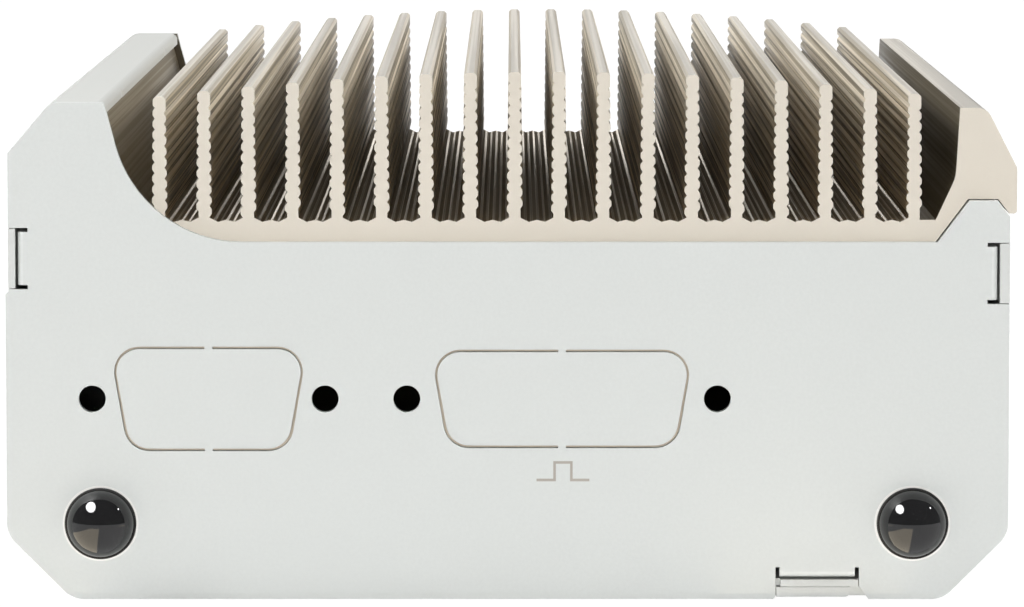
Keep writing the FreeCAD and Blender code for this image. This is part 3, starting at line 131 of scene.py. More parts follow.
class Graph:
    """The node tree of one material or of the world."""

    def __init__(self, tree: bpy.types.NodeTree) -> None:
        """Empty the tree, ready for new nodes."""
        self.tree = tree
        self.tree.nodes.clear()

    def node(self, kind: str, settings: Optional[dict] = None, **inputs: object) -> bpy.types.Node:
        """Add one node.

        Args:
            kind: the node's type name.
            settings: attributes to set first; "stops" holds a ramp's (place, grey or colour) pairs.
            inputs: values or links by socket name, with "_" for a space, or by number as "at_0".

        Returns:
            The new node.
        """
        made = self.tree.nodes.new(kind)
        for name, value in (settings or {}).items():
            if name == "stops":
                self._set_stops(made.color_ramp, value)
            else:
                setattr(made, name, value)
        for name, value in inputs.items():
            key = int(name[3:]) if name.startswith("at_") else name.replace("_", " ")
            self.feed(made.inputs[key], value)
        return made

    def _set_stops(self, ramp: bpy.types.ColorRamp, stops: Sequence[tuple[float, object]]) -> None:
        """Write a ramp's stops, given as places with a grey value or a colour."""
        while len(ramp.elements) < len(stops):
            ramp.elements.new(1.0)
        for element, (place, tone) in zip(ramp.elements, stops):
            element.position = place
            element.color = (*tone, 1.0) if isinstance(tone, tuple) else (tone, tone, tone, 1.0)

    def feed(self, socket: bpy.types.NodeSocket, value: object) -> None:
        """Link or set one input socket."""
        if isinstance(value, Signal):
            self.tree.links.new(value.socket, socket)
        elif isinstance(value, bpy.types.NodeSocket):
            self.tree.links.new(value, socket)
        elif isinstance(value, tuple) and len(value) == 3 and socket.type == "RGBA":
            socket.default_value = (*value, 1.0)
        else:
            socket.default_value = value

    def maths(self, operation: str, first: Number, second: Number = 0.0, clamp: bool = False) -> Signal:
        """One Math node on numbers or signals.

        Args:
            operation: the node's operation, such as "ADD".
            first: the first number or signal.
            second: the second one, where the operation takes two.
            clamp: whether the result is kept from 0 to 1.

        Returns:
            The result.
        """
        made = self.node(
            "ShaderNodeMath", {"operation": operation, "use_clamp": clamp}, at_0=first, at_1=second
        )
        return Signal(self, made.outputs[0])

    def place(self, scale: Colour = (1.0, 1.0, 1.0), turn: Colour = (0.0, 0.0, 0.0)) -> bpy.types.NodeSocket:
        """Object coordinates, stretched and turned for a pattern."""
        where = self.node("ShaderNodeTexCoord").outputs["Object"]
        return self.node("ShaderNodeMapping", Vector=where, Scale=scale, Rotation=turn).outputs[0]

    def part(self, vector: bpy.types.NodeSocket, axis: str) -> Signal:
        """One part of a vector, by the axis's letter."""
        return Signal(self, self.node("ShaderNodeSeparateXYZ", Vector=vector).outputs[axis])

    def facing(self, axis: str) -> Signal:
        """How far the surface looks along an axis, from -1 to 1."""
        return self.part(self.node("ShaderNodeNewGeometry").outputs["Normal"], axis)

    def position(self, axis: str) -> Signal:
        """Where the point lies along an axis of the object, in metres."""
        return self.part(self.node("ShaderNodeTexCoord").outputs["Object"], axis)

    def noise(self, scale: float, stretch: Colour = (1.0, 1.0, 1.0), detail: float = 2.0) -> Signal:
        """Soft noise from 0 to 1.

        Args:
            scale: features per metre along an unstretched axis.
            stretch: share of that scale along each axis.
            detail: octaves of finer noise.

        Returns:
            The noise.
        """
        made = self.node(
            "ShaderNodeTexNoise", Vector=self.place(stretch), Scale=scale, Detail=detail, Roughness=0.55
        )
        return Signal(self, made.outputs[0])

    def ramp(self, value: Signal, stops: Sequence[tuple[float, float]]) -> Signal:
        """Remap a signal through a ramp.

        Args:
            value: the signal, read from 0 to 1.
            stops: (place, grey) pairs in order.

        Returns:
            The remapped signal.
        """
        made = self.node("ShaderNodeValToRGB", {"stops": stops}, Fac=value)
        return Signal(self, made.outputs[0])

    def blend(self, factor: Number, first: object, second: object) -> bpy.types.NodeSocket:
        """Mix two colours.

        Args:
            factor: 0 for the first colour, 1 for the second.
            first: a colour or a socket.
            second: a colour or a socket.

        Returns:
            The mixed colour's socket.
        """
        made = self.node("ShaderNodeMix", {"data_type": "RGBA"}, Factor=factor)
        self.feed(made.inputs[6], first)
        self.feed(made.inputs[7], second)
        return made.outputs[2]

    def bump(self, height: Signal, distance_mm: float, strength: float) -> bpy.types.NodeSocket:
        """A bumped normal from a height signal.

        Args:
            height: the height, from 0 to 1.
            distance_mm: how high 1 is.
            strength: how strongly the bump shows.

        Returns:
            The normal's socket.
        """
        made = self.node("ShaderNodeBump", Strength=strength, Distance=distance_mm * MM, Height=height)
        return made.outputs[0]

    def surface(self, **inputs: object) -> None:
        """Close a material with one Principled shader."""
        shader = self.node("ShaderNodeBsdfPrincipled", **inputs)
        out = self.node("ShaderNodeOutputMaterial")
        self.tree.links.new(shader.outputs[0], out.inputs["Surface"])


def shade(colour: Colour, share: float) -> Colour:
    """The same colour, lighter or darker.

    Args:
        colour: the colour.
        share: how much of it to keep; above 1 it gets lighter, up to white.

    Returns:
        The new colour.
    """
    return tuple(min(1.0, part * share) for part in colour)  # type: ignore[return-value]


# ------------------------------------------------------------------------------ finishes


@dataclass(frozen=True)
class Finish:
    """A finish that a material is made from."""

    name: str
    colour: Colour

    def paint(self, graph: Graph) -> None:
        """Write the finish's nodes; each kind of finish has its own."""
        graph.surface(Base_Color=self.colour, Roughness=0.5)

    def material(self) -> bpy.types.Material:
        """The finish as a material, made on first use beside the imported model's plain one."""
        label = f"{self.name}_finish"
        found = bpy.data.materials.get(label)
        if found:
            return found
        made = bpy.data.materials.new(label)
        made.use_nodes = True
        self.paint(Graph(made.node_tree))
        return made


@dataclass(frozen=True)
class PowderCoat(Finish):
    """Fine matt powder coat on sheet metal, with a painted highlight along its cut edges."""

    grain_per_m: float = 2600.0
    roughness: float = 0.56
    # A dark colour painted as shade on the faces turned towards -Y, where one is given.
    inner: Optional[Colour] = None

    def paint(self, graph: Graph) -> None:
        """Fine grain in the bump, broad cloudiness in tone, a painted highlight on cut edges, painted shade
        on an inner face.
        """
        grain = graph.noise(self.grain_per_m, detail=3.0)
        cloud = graph.noise(28.0, detail=4.0)
        facing = graph.facing("Y")
        # Painted highlight: the softened edges between faces turned along Y and the rest are painted
        # lighter.
        edge_highlight = graph.ramp(
            graph.maths("ABSOLUTE", facing), ((0.04, 0.0), (0.25, 1.0), (0.93, 1.0), (0.99, 0.0))
        )
        tone = graph.blend(cloud, shade(self.colour, 0.975), shade(self.colour, 1.02))
        fleck = graph.blend(graph.ramp(grain, ((0.3, 0.0), (0.75, 1.0))), shade(self.colour, 0.965), tone)
        # Painted shade: faces turned towards -Y take the dark inner colour.
        if self.inner:
            fleck = graph.blend(graph.maths("LESS_THAN", facing, -0.5), fleck, self.inner)
        colour = graph.blend(edge_highlight * 0.6, fleck, shade(self.colour, 1.2))
        graph.surface(
            Base_Color=colour,
            Roughness=self.roughness + (grain - 0.5) * 0.16,
            Normal=graph.bump(grain, 0.02, 0.35),
        )


@dataclass(frozen=True)
class CoatedExtrusion(Finish):
    """Pale coating over an extrusion: plain sawn ends; greyer tops, darker sides and dull brown between the
    fins are painted shade.
    """

    # Painted shade: darker copies of the coating for the tops and sides, and the dull brown of the channels.
    top: Colour = (0.51, 0.49, 0.45)
    side: Colour = (0.52, 0.465, 0.37)
    channel_shade: Colour = (0.70, 0.565, 0.365)
    # Painted highlights: near-white edges and the floor's fine ridges.
    edge: Colour = (1.0, 0.975, 0.92)
    lit_ridge: Colour = (0.95, 0.875, 0.75)
    # Painted shade in the two hollows outside the fins, from their tops down to their feet.
    hollow_shade_top: Colour = (0.080, 0.071, 0.054)
    hollow_shade_foot: Colour = (0.290, 0.235, 0.145)
    roughness: float = 0.42
    floor_mm: float = 41.0
    tip_mm: float = 56.5
    wall_mm: float = 48.4
    fins_middle_mm: float = 2.0
    fins_reach_mm: float = 40.9
    fin_pitch_mm: float = 4.757
    ridges_per_fin: int = 7
    ridge_top_mm: float = 41.6

    def paint(self, graph: Graph) -> None:
        """Long die lines along Y, painted light and shade by the way each face turns, painted shade low
        between the fins, painted highlights on the edges.
        """
        lines = graph.noise(3000.0, (1.0, 0.002, 1.0), detail=1.0)
        cloud = graph.noise(45.0, (1.0, 0.3, 1.0), detail=4.0)
        grain = graph.noise(3800.0, detail=2.0)
        streak = graph.ramp(lines, ((0.43, 0.0), (0.59, 1.0)))
        along = graph.maths("ABSOLUTE", graph.facing("Y"))
        sawn = graph.ramp(along, ((0.3, 0.0), (0.45, 1.0)))
        edge_highlight = graph.ramp(along, ((0.04, 0.0), (0.25, 1.0), (0.93, 1.0), (0.99, 0.0)))
        floor, lit_ridge = self._ridges(graph)
        end = graph.blend(cloud * 0.6 + grain * 0.4, shade(self.colour, 0.965), shade(self.colour, 1.035))
        # The sawn ends keep the coating's own colour; the other faces take painted light and shade.
        body = graph.blend(sawn, self._long_faces(graph, streak, cloud, floor, lit_ridge), end)
        graph.surface(
            # Painted highlight: near-white softened edges round the sawn ends.
            Base_Color=graph.blend(edge_highlight, body, self.edge),
            Roughness=self.roughness - streak * 0.12 + floor * 0.3 - floor * lit_ridge * 0.42,
            Normal=graph.bump(lines * 0.6 + grain * 0.4, 0.02, 0.3),
        )

    def _long_faces(
        self, graph: Graph, streak: Signal, cloud: Signal, floor: Signal, lit_ridge: Signal
    ) -> bpy.types.NodeSocket:
        """The tone of every face that runs along Y, with its painted light and shade.

        Args:
            graph: the material's graph.
            streak: the die lines.
            cloud: broad cloudiness.
            floor: one on the channel floors.
            lit_ridge: one on the floors' fine ridges.

        Returns:
            The colour's socket.
        """
        upward = graph.facing("Z")
        deep = self._depth(graph)
        # Painted light: faces turned upward are painted lighter, faces turned downward darker.
        upward_light = graph.ramp(upward * 0.5 + 0.5, ((0.3, 0.0), (0.5, 0.25), (0.62, 0.8), (0.8, 1.0)))
        side = graph.blend(upward_light * 0.6 + streak * 0.4, shade(self.side, 0.3), shade(self.side, 1.5))
        # Painted shade: darker, browner tones with die lines deep between the fins.
        channel_shade = graph.blend(streak, shade(self.channel_shade, 0.35), shade(self.channel_shade, 1.4))
        side = graph.blend(deep * (1.0 - upward_light * 0.35), side, channel_shade)
        # Painted shade: dark tones in the two hollows outside the fins.
        side = graph.blend(self._hollow(graph), side, graph.blend(deep, self.hollow_shade_top, self.hollow_shade_foot))
        outer = graph.blend(streak * 0.3, self.colour, shade(self.colour, 0.88))
        side = graph.blend(self._outer(graph), side, outer)
        # Painted highlight on the floor's fine ridges, painted shade between them.
        side = graph.blend(floor, side, graph.blend(lit_ridge, shade(self.channel_shade, 0.4), self.lit_ridge))
        # Painted shade: the tops take a greyer, darker copy of the coating.
        top = graph.blend(cloud, shade(self.top, 0.95), shade(self.top, 1.05))
        flat = graph.ramp(upward, ((0.6, 0.0), (0.85, 1.0))) * (1.0 - deep)
        return graph.blend(flat, side, top)

    def _ridges(self, graph: Graph) -> tuple[Signal, Signal]:
        """Masks of the channel floors and of the fine ridges that the die leaves along them, which carry a
        painted highlight.
        """
        across = graph.position("X") - self.fins_middle_mm * MM
        low = graph.maths("LESS_THAN", graph.position("Z"), self.ridge_top_mm * MM)
        inside = graph.maths("LESS_THAN", graph.maths("ABSOLUTE", across), self.fins_reach_mm * MM)
        floor = graph.ramp(graph.facing("Z"), ((0.35, 0.0), (0.6, 1.0))) * low * inside
        ridge_pitch = self.fin_pitch_mm * MM / self.ridges_per_fin
        wave = graph.maths("SINE", across * (2 * math.pi / ridge_pitch))
        wander = graph.noise(700.0, (1.0, 0.01, 1.0), detail=1.0)
        return floor, graph.ramp(wave * 0.5 + 0.3 + wander * 0.4, ((0.6, 0.0), (0.82, 1.0)))

    def _outer(self, graph: Graph) -> Signal:
        """One on the right wall's outer faces, which are as pale as the sawn ends."""
        beyond = graph.maths("GREATER_THAN", graph.position("X"), self.wall_mm * MM)
        return graph.ramp(graph.facing("X"), ((0.1, 0.0), (0.3, 1.0))) * beyond

    def _hollow(self, graph: Graph) -> Signal:
        """One in the two hollows outside the row of fins, which take painted shade; nought between the fins
        and on the wall.
        """
        across = graph.position("X")
        off = graph.maths("ABSOLUTE", across - self.fins_middle_mm * MM)
        outside = graph.maths("GREATER_THAN", off, self.fins_reach_mm * MM)
        return outside * graph.maths("LESS_THAN", across, self.wall_mm * MM)

    def _depth(self, graph: Graph) -> Signal:
        """How deep a point lies between the fins: 0 at the tips, 1 on the channel floor; the painted shade
        follows it.
        """
        level = graph.node(
            "ShaderNodeMapRange",
            Value=graph.position("Z"),
            From_Min=self.floor_mm * MM,
            From_Max=self.tip_mm * MM,
            To_Min=1.0,
            To_Max=0.0,
        )
        inside = graph.maths("LESS_THAN", graph.position("X"), self.wall_mm * MM)
        return Signal(graph, level.outputs[0]) * inside


@dataclass(frozen=True)
class Polished(Finish):
    """Polished moulded plastic under a clear gloss, with a trace of dust."""

    def paint(self, graph: Graph) -> None:
        """Near-black gloss whose roughness lifts where dust sits."""
        dust = graph.ramp(graph.noise(5200.0, detail=1.0), ((0.74, 0.0), (0.80, 1.0)))
        flow = graph.noise(120.0, detail=2.0)
        colour = graph.blend(dust * 0.15, self.colour, (0.25, 0.24, 0.22))
        graph.surface(
            Base_Color=graph.blend(flow * 0.2, colour, shade(self.colour, 1.6)),
            Roughness=0.035 + dust * 0.12 + flow * 0.02,
            Normal=graph.bump(flow, 0.01, 0.05),
            Specular_IOR_Level=0.5,
        )


@dataclass(frozen=True)
class Moulded(Finish):
    """Matt moulded plastic with a fine spark texture."""

    roughness: float = 0.5

    def paint(self, graph: Graph) -> None:
        """Spark texture in the bump, slight flow marks in the tone."""
        spark = graph.noise(4200.0, detail=2.0)
        flow = graph.noise(90.0, (1.0, 0.4, 1.0), detail=3.0)
        graph.surface(
            Base_Color=graph.blend(flow, shade(self.colour, 0.85), shade(self.colour, 1.2)),
            Roughness=self.roughness + (spark - 0.5) * 0.2,
            Normal=graph.bump(spark, 0.02, 0.4),
        )


@dataclass(frozen=True)
class BareMetal(Finish):
    """Bare or plated metal, brushed along Y."""

    roughness: float = 0.32

    def paint(self, graph: Graph) -> None:
        """Brush lines in roughness and bump, faint stains in the tone."""
        brush = graph.noise(2400.0, (1.0, 0.03, 1.0), detail=2.0)
        stain = graph.noise(160.0, detail=4.0)
        graph.surface(
            Base_Color=graph.blend(stain, shade(self.colour, 0.86), shade(self.colour, 1.06)),
            Metallic=1.0,
            Roughness=self.roughness + (brush - 0.5) * 0.2 + stain * 0.05,
            Normal=graph.bump(brush, 0.006, 0.25),
        )


@dataclass(frozen=True)
class SolderMask(Finish):
    """Circuit board lacquer with the copper tracks showing as paler lines."""

    def paint(self, graph: Graph) -> None:
        """Square track pattern under a gloss lacquer."""
        cells = graph.node(
            "ShaderNodeTexVoronoi",
            {"distance": "MANHATTAN", "feature": "F1"},
            Vector=graph.place(),
            Scale=420.0,
        )
        track = graph.ramp(Signal(graph, cells.outputs["Distance"]), ((0.42, 0.0), (0.5, 1.0)))
        weave = graph.noise(900.0, detail=1.0)
        graph.surface(
            Base_Color=graph.blend(track * 0.6, self.colour, shade(self.colour, 1.9)),
            Roughness=0.3 + weave * 0.12,
            Normal=graph.bump(track, 0.02, 0.2),
        )


@dataclass(frozen=True)
class ClearLens(Finish):
    """Frosted clear plastic of a lamp's light guide."""

    def paint(self, graph: Graph) -> None:
        """Part see-through, with a faint frosting."""
        frost = graph.noise(2600.0, detail=1.0)
        graph.surface(
            Base_Color=self.colour, Roughness=0.25 + frost * 0.15, Transmission_Weight=0.4, IOR=1.49
        )


FINISHES: dict[str, Finish] = {
    item.name: item
    for item in (
        CoatedExtrusion("heat_sink_paint", (0.745, 0.685, 0.590)),
        PowderCoat("panel_paint", (0.715, 0.735, 0.715)),
        # The rear panel's inner face is painted dark as painted shade.
        PowderCoat("rear_panel", (0.715, 0.735, 0.715), inner=(0.105, 0.088, 0.062)),
        PowderCoat("shell_paint", (0.695, 0.708, 0.685)),
        PowderCoat("cover_paint", (0.700, 0.712, 0.690)),
        Polished("plug_plastic", (0.012, 0.012, 0.0125)),
        Moulded("plug_collar", (0.010, 0.009, 0.008), 0.75),
        # Painted highlight: a pale ring as a light halo round each dome.
        PowderCoat("plug_halo_light", (0.90, 0.885, 0.85)),
        Moulded("slit_backing", (0.66, 0.58, 0.48), 0.8),
        Moulded("print_ink", (0.42, 0.385, 0.34), 0.7),
        BareMetal("gold_contact", (0.82, 0.62, 0.28), 0.22),
        SolderMask("circuit_board", (0.012, 0.080, 0.035)),
        SolderMask("module_board", (0.010, 0.060, 0.035)),
        BareMetal("chip_silicon", (0.42, 0.43, 0.46), 0.12),
        Moulded("thermal_pad", (0.33, 0.36, 0.42), 0.8),
        BareMetal("bare_aluminium", (0.86, 0.86, 0.85), 0.38),
        BareMetal("zinc_plate", (0.66, 0.66, 0.63), 0.34),
        BareMetal("socket_shield", (0.70, 0.70, 0.68), 0.3),
        BareMetal("screw_steel", (0.48, 0.48, 0.47), 0.3),
        BareMetal("cell_steel", (0.72, 0.72, 0.71), 0.25),
        Moulded("black_plastic", (0.022, 0.022, 0.023)),
        Moulded("button_plastic", (0.035, 0.035, 0.036), 0.42),
        ClearLens("lamp_lens", (0.78, 0.86, 0.78)),
        Moulded("coil_ferrite", (0.05, 0.05, 0.052), 0.7),
        Moulded("capacitor_case", (0.25, 0.19, 0.07), 0.45),
    )
}


# ------------------------------------------------------------------------------ modelling help


def clear_selection() -> None:
    """Deselect every object, in object mode."""
    if bpy.context.mode != "OBJECT":
        bpy.ops.object.mode_set(mode="OBJECT")
    bpy.ops.object.select_all(action="DESELECT")


def select_only(piece: bpy.types.Object) -> None:
    """Make one object the only selected one, and active."""
    clear_selection()
    piece.select_set(True)
    bpy.context.view_layer.objects.active = piece


def apply_bevel(piece: bpy.types.Object, width_mm: float, segments: int, angle: float) -> None:
    """Soften a piece's edges.

    Args:
        piece: the mesh object.
        width_mm: the bevel's width.
        segments: how many faces round each edge.
        angle: only edges that turn more than this many degrees are softened.
    """
    select_only(piece)
    bpy.ops.object.modifier_add(type="BEVEL")
    bevel = piece.modifiers[-1]
    bevel.width = width_mm * MM
    bevel.segments = segments
    bevel.limit_method = "ANGLE"
    bevel.angle_limit = math.radians(angle)
    bevel.use_clamp_overlap = True
    bevel.miter_outer = "MITER_SHARP"
    bpy.ops.object.modifier_apply(modifier=bevel.name)


def smooth(piece: bpy.types.Object, angle: float = 35.0) -> None:
    """Shade a piece smooth across edges flatter than an angle in degrees."""
    select_only(piece)
    bpy.ops.object.shade_smooth_by_angle(angle=math.radians(angle))


def weigh_normals(piece: bpy.types.Object) -> None:
    """Let the large faces rule the shading, so softened edges read as narrow rounds."""
    select_only(piece)
    bpy.ops.object.modifier_add(type="WEIGHTED_NORMAL")
    weigh = piece.modifiers[-1]
    weigh.keep_sharp = True
    bpy.ops.object.modifier_apply(modifier=weigh.name)


def settle(
    piece: bpy.types.Object, name: str, slot: str, body: BodyName = BodyName.CASE, finish: str = ""
) -> bpy.types.Object:
    """Name a finished piece, dress it and let it ride on its body.

    Args:
        piece: the mesh object, in place.
        name: its name.
        slot: the record's material slot, which also names the finish unless one is given.
        body: the body it moves with.
        finish: the name of another finish.

    Returns:
        The same object.
    """
    select_only(piece)
    bpy.ops.object.transform_apply(location=True, rotation=True, scale=True)
    piece.name = name
    piece.data.name = name
    piece.data.materials.clear()
    piece.data.materials.append(FINISHES[finish or slot].material())
    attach(piece, body.value)
    LOG.info("%s: %d faces, rides on %s", name, len(piece.data.polygons), body.value)
    return piece


def duplicate(piece: bpy.types.Object, offset: Vector) -> bpy.types.Object:
    """Copy a piece with its own mesh.

    Args:
        piece: the object to copy.
        offset: how far the copy is moved.

    Returns:
        The copy.
    """
    select_only(piece)
    bpy.ops.object.duplicate()
    copy = bpy.context.active_object
    bpy.ops.transform.translate(value=offset)
    return copy


def join(pieces: Sequence[bpy.types.Object]) -> bpy.types.Object:
    """Join several objects into one.

    Args:
        pieces: the objects; the first takes in the rest.

    Returns:
        The first object.
    """
    clear_selection()
    for piece in pieces:
        piece.select_set(True)
    bpy.context.view_layer.objects.active = pieces[0]
    bpy.ops.object.join()
    return pieces[0]


def add_block(low: Vector, high: Vector) -> bpy.types.Object:
    """A box as a new object.

    Args:
        low: its lowest corner.
        high: its highest corner.

    Returns:
        The box.
    """
    clear_selection()
    bpy.ops.mesh.primitive_cube_add(size=1.0, location=(low + high) / 2)
    made = bpy.context.active_object
    made.scale = high - low
    bpy.ops.object.transform_apply(location=True, rotation=True, scale=True)
    return made


def pick_faces(piece: bpy.types.Object, test: Callable[[bpy.types.MeshPolygon], bool]) -> None:
    """Select some faces of a piece, and enter edit mode on them.

    Args:
        piece: the mesh object.
        test: says of one face whether it is picked.
    """
    select_only(piece)
    bpy.ops.object.mode_set(mode="EDIT")
    bpy.ops.mesh.select_mode(type="FACE")
    bpy.ops.mesh.select_all(action="DESELECT")
    bpy.ops.object.mode_set(mode="OBJECT")
    for face in piece.data.polygons:
        face.select = test(face)
    bpy.ops.object.mode_set(mode="EDIT")


# ------------------------------------------------------------------------------ refined solids


@dataclass
class RefinedNode:
    """A CAD node shown through a copy with clean faces and softened edges."""

    node: str
    slot: str
    width_mm: float = 0.12
    segments: int = 2
    angle: float = 30.0
    body: BodyName = BodyName.CASE
    smooth_angle: float = 35.0
    finish: str = ""

    def build(self, frame: dict) -> bpy.types.Object:
        """Copy the node, merge it into clean faces and soften it.


        Returns:
            The refined piece, which stands for the node.
        """
        select_only(frame["nodes"][self.node])
        bpy.ops.object.duplicate()
        piece = bpy.context.active_object
        bpy.ops.object.parent_clear(type="CLEAR_KEEP_TRANSFORM")
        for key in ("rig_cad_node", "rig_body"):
            if key in piece:
                del piece[key]
        bpy.ops.object.mode_set(mode="EDIT")
        bpy.ops.mesh.select_all(action="SELECT")
        bpy.ops.mesh.remove_doubles(threshold=0.002 * MM)
        bpy.ops.mesh.dissolve_limited(angle_limit=math.radians(0.6))
        bpy.ops.object.mode_set(mode="OBJECT")
        if self.width_mm > 0:
            apply_bevel(piece, self.width_mm, self.segments, self.angle)
        smooth(piece, self.smooth_angle)
        weigh_normals(piece)
        settle(piece, f"{self.node}_piece", self.slot, self.body, self.finish)
        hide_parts(self.node)
        return piece


PLUGS = ("left_antenna_plug", "right_antenna_plug")
REFINED = (
    RefinedNode("heat_sink", "heat_sink_paint", 0.095, 2, 20.0),
    RefinedNode("front_end_panel", "panel_paint", 0.11, 2),
    RefinedNode("rear_end_panel", "panel_paint", 0.07, 2, finish="rear_panel"),
    RefinedNode("socket_shell", "shell_paint", 0.08, 2),
    RefinedNode("outer_cover", "cover_paint", 0.08, 2),
    RefinedNode("power_button", "button_plastic", 0.2, 3, body=BodyName.BUTTON),
    RefinedNode("power_socket", "black_plastic", 0.1, 2),
    RefinedNode("display_socket", "socket_shield", 0.08, 2),
    RefinedNode("usb_socket_1", "socket_shield", 0.08, 2),
    RefinedNode("usb_socket_2", "socket_shield", 0.08, 2),
    RefinedNode("ethernet_socket_1", "socket_shield", 0.1, 2),
    RefinedNode("ethernet_socket_2", "socket_shield", 0.1, 2),
    RefinedNode("ethernet_socket_3", "socket_shield", 0.1, 2),
)


# ------------------------------------------------------------------------------ front panel's details


@dataclass
class DomePlug:
    """A push-in plug: glossy dome, matt collar round its foot, and behind it a pale ring painted as a light
    halo.
    """

    node: str
    collar_width_mm: float = 0.30
    collar_rise_mm: float = 0.45
    # Size of the pale ring painted as a light halo round the collar.
    halo_width_mm: float = 0.22
    halo_rise_mm: float = 0.08
    halo_lap_mm: float = 0.10
    shank_share: float = 0.8
    segments: int = 96

    def build(self) -> bpy.types.Object:
        """Build the dome that stands for the CAD plug, with its collar and its pale ring of painted
        highlight.
        """
        low, high = (Vector(corner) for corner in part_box(self.node))
        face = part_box("front_end_panel")[0][1]
        middle = (low + high) / 2
        foot = Vector((middle.x, face, middle.z))
        radius = (high.x - low.x) / 2
        collar_width = self.collar_width_mm * MM
        dome = self._dome(foot, radius - collar_width / 2, face - low.y, high.y - face)
        settle(dome, f"{self.node}_dome", "plug_plastic")
        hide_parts(self.node)
        collar = self._ring(foot, radius, radius - collar_width, self.collar_rise_mm)
        settle(collar, f"{self.node}_collar", "plug_plastic", finish="plug_collar")
        # Painted highlight: a pale ring round the collar, as a light halo round the dome.
        outside = radius + self.halo_width_mm * MM
        halo_ring = self._ring(foot, outside, radius - self.halo_lap_mm * MM, self.halo_rise_mm)
        settle(halo_ring, f"{self.node}_washer", "panel_paint", finish="plug_halo_light")
        return dome

    def _dome(self, foot: Vector, radius: float, rise: float, depth: float) -> bpy.types.Object:
        """A cap of a sphere on a shank that reaches back through the panel.

        Args:
            foot: the middle of the cap's foot, on the panel's face.
            radius: the cap's radius at its foot.
            rise: how far the cap stands off the panel.
            depth: how far the shank reaches back.

        Returns:
            The dome.
        """
        ball = (radius**2 + rise**2) / (2 * rise)
        clear_selection()
        bpy.ops.mesh.primitive_uv_sphere_add(
            segments=self.segments,
            ring_count=self.segments // 2,
            radius=ball,
            location=foot + Vector((0.0, ball - rise, 0.0)),
            rotation=(math.radians(90.0), 0.0, 0.0),
        )
        dome = bpy.context.active_object
        bpy.ops.object.transform_apply(location=True, rotation=True, scale=True)
        bpy.ops.object.mode_set(mode="EDIT")
        bpy.ops.mesh.select_all(action="SELECT")
        bpy.ops.mesh.bisect(plane_co=foot, plane_no=(0.0, 1.0, 0.0), clear_outer=True)
        bpy.ops.mesh.select_all(action="DESELECT")
        bpy.ops.mesh.select_mode(type="EDGE")
        bpy.ops.mesh.select_non_manifold()
        bpy.ops.mesh.extrude_edges_move()
        share = self.shank_share
        bpy.ops.transform.resize(value=(share, 1.0, share), center_override=foot)
        bpy.ops.mesh.extrude_edges_move(TRANSFORM_OT_translate={"value": (0.0, depth, 0.0)})
        bpy.ops.mesh.edge_face_add()
        bpy.ops.mesh.select_all(action="SELECT")
        bpy.ops.mesh.normals_make_consistent(inside=False)
        bpy.ops.object.mode_set(mode="OBJECT")
        smooth(dome, 40.0)
        return dome

    def _ring(self, foot: Vector, outer: float, inner: float, rise_mm: float) -> bpy.types.Object:
        """A flat ring on the panel round the dome's foot, with softened edges.

        Args:
            foot: the ring's middle, on the panel's face.
            outer: its outer radius.
            inner: its inner radius.
            rise_mm: how far it stands off the panel.

        Returns:
            The ring.
        """
        rise = rise_mm * MM
        clear_selection()
        bpy.ops.mesh.primitive_cylinder_add(
            vertices=self.segments,
            radius=outer,
            depth=rise,
            location=foot - Vector((0.0, rise / 2, 0.0)),
            rotation=(math.radians(90.0), 0.0, 0.0),
        )
        ring = bpy.context.active_object
        bpy.ops.object.transform_apply(location=True, rotation=True, scale=True)
        pick_faces(ring, lambda one: abs(one.normal.y) > 0.9)
        bpy.ops.mesh.inset(thickness=outer - inner, depth=0.0)
        bpy.ops.mesh.bridge_edge_loops()
        bpy.ops.mesh.select_all(action="SELECT")
        bpy.ops.mesh.normals_make_consistent(inside=False)
        bpy.ops.object.mode_set(mode="OBJECT")
        apply_bevel(ring, rise_mm * 0.3, 2, 50.0)
        smooth(ring, 40.0)
        return ring


@dataclass
class SlitBacking:
    """Thin plates behind the front panel that close the knock-outs' narrow slits."""

    margin_mm: float = 2.2
    half_height_mm: float = 6.2
    gap_mm: float = 0.02
    sheet_mm: float = 0.1
    hole_gap_mm: float = 1.75

    def build(self, record: dict) -> None:
        """Build one plate for each knock-out, between its screw holes and beyond them.

        Args:
            record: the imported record, whose mounts give the screw holes.
        """
        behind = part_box("heat_sink")[0][1]
        for name in ("small_connector_holes", "large_connector_holes"):
            mount = next(one for one in record["mounts"] if one["name"] == name)
            middle = Vector(mount["pos_m"])
            middle.y = behind
            reach = mount["dims"]["spacing_x_mm"] / 2
            near, far = self.hole_gap_mm, self.hole_gap_mm + self.margin_mm
            beside = (reach + near, reach + far)
            spans = ((-beside[1], -beside[0]), (-reach + near, reach - near), beside)
            plates = [self._plate(middle, span) for span in spans]
            settle(join(plates), f"{name}_backing", "panel_paint", finish="slit_backing")

    def _plate(self, middle: Vector, span: tuple[float, float]) -> bpy.types.Object:
        """One plate with cut corners.

        Args:
            middle: the knock-out's middle, at the panel's back.
            span: where the plate starts and ends along X, in mm from that middle.

        Returns:
            The plate.
        """
        low = middle + Vector((span[0], self.gap_mm, -self.half_height_mm)) * MM
        high = middle + Vector((span[1], self.gap_mm + self.sheet_mm, self.half_height_mm)) * MM
        plate = add_block(low, high)
        apply_bevel(plate, 0.04, 1, 50.0)
        return plate


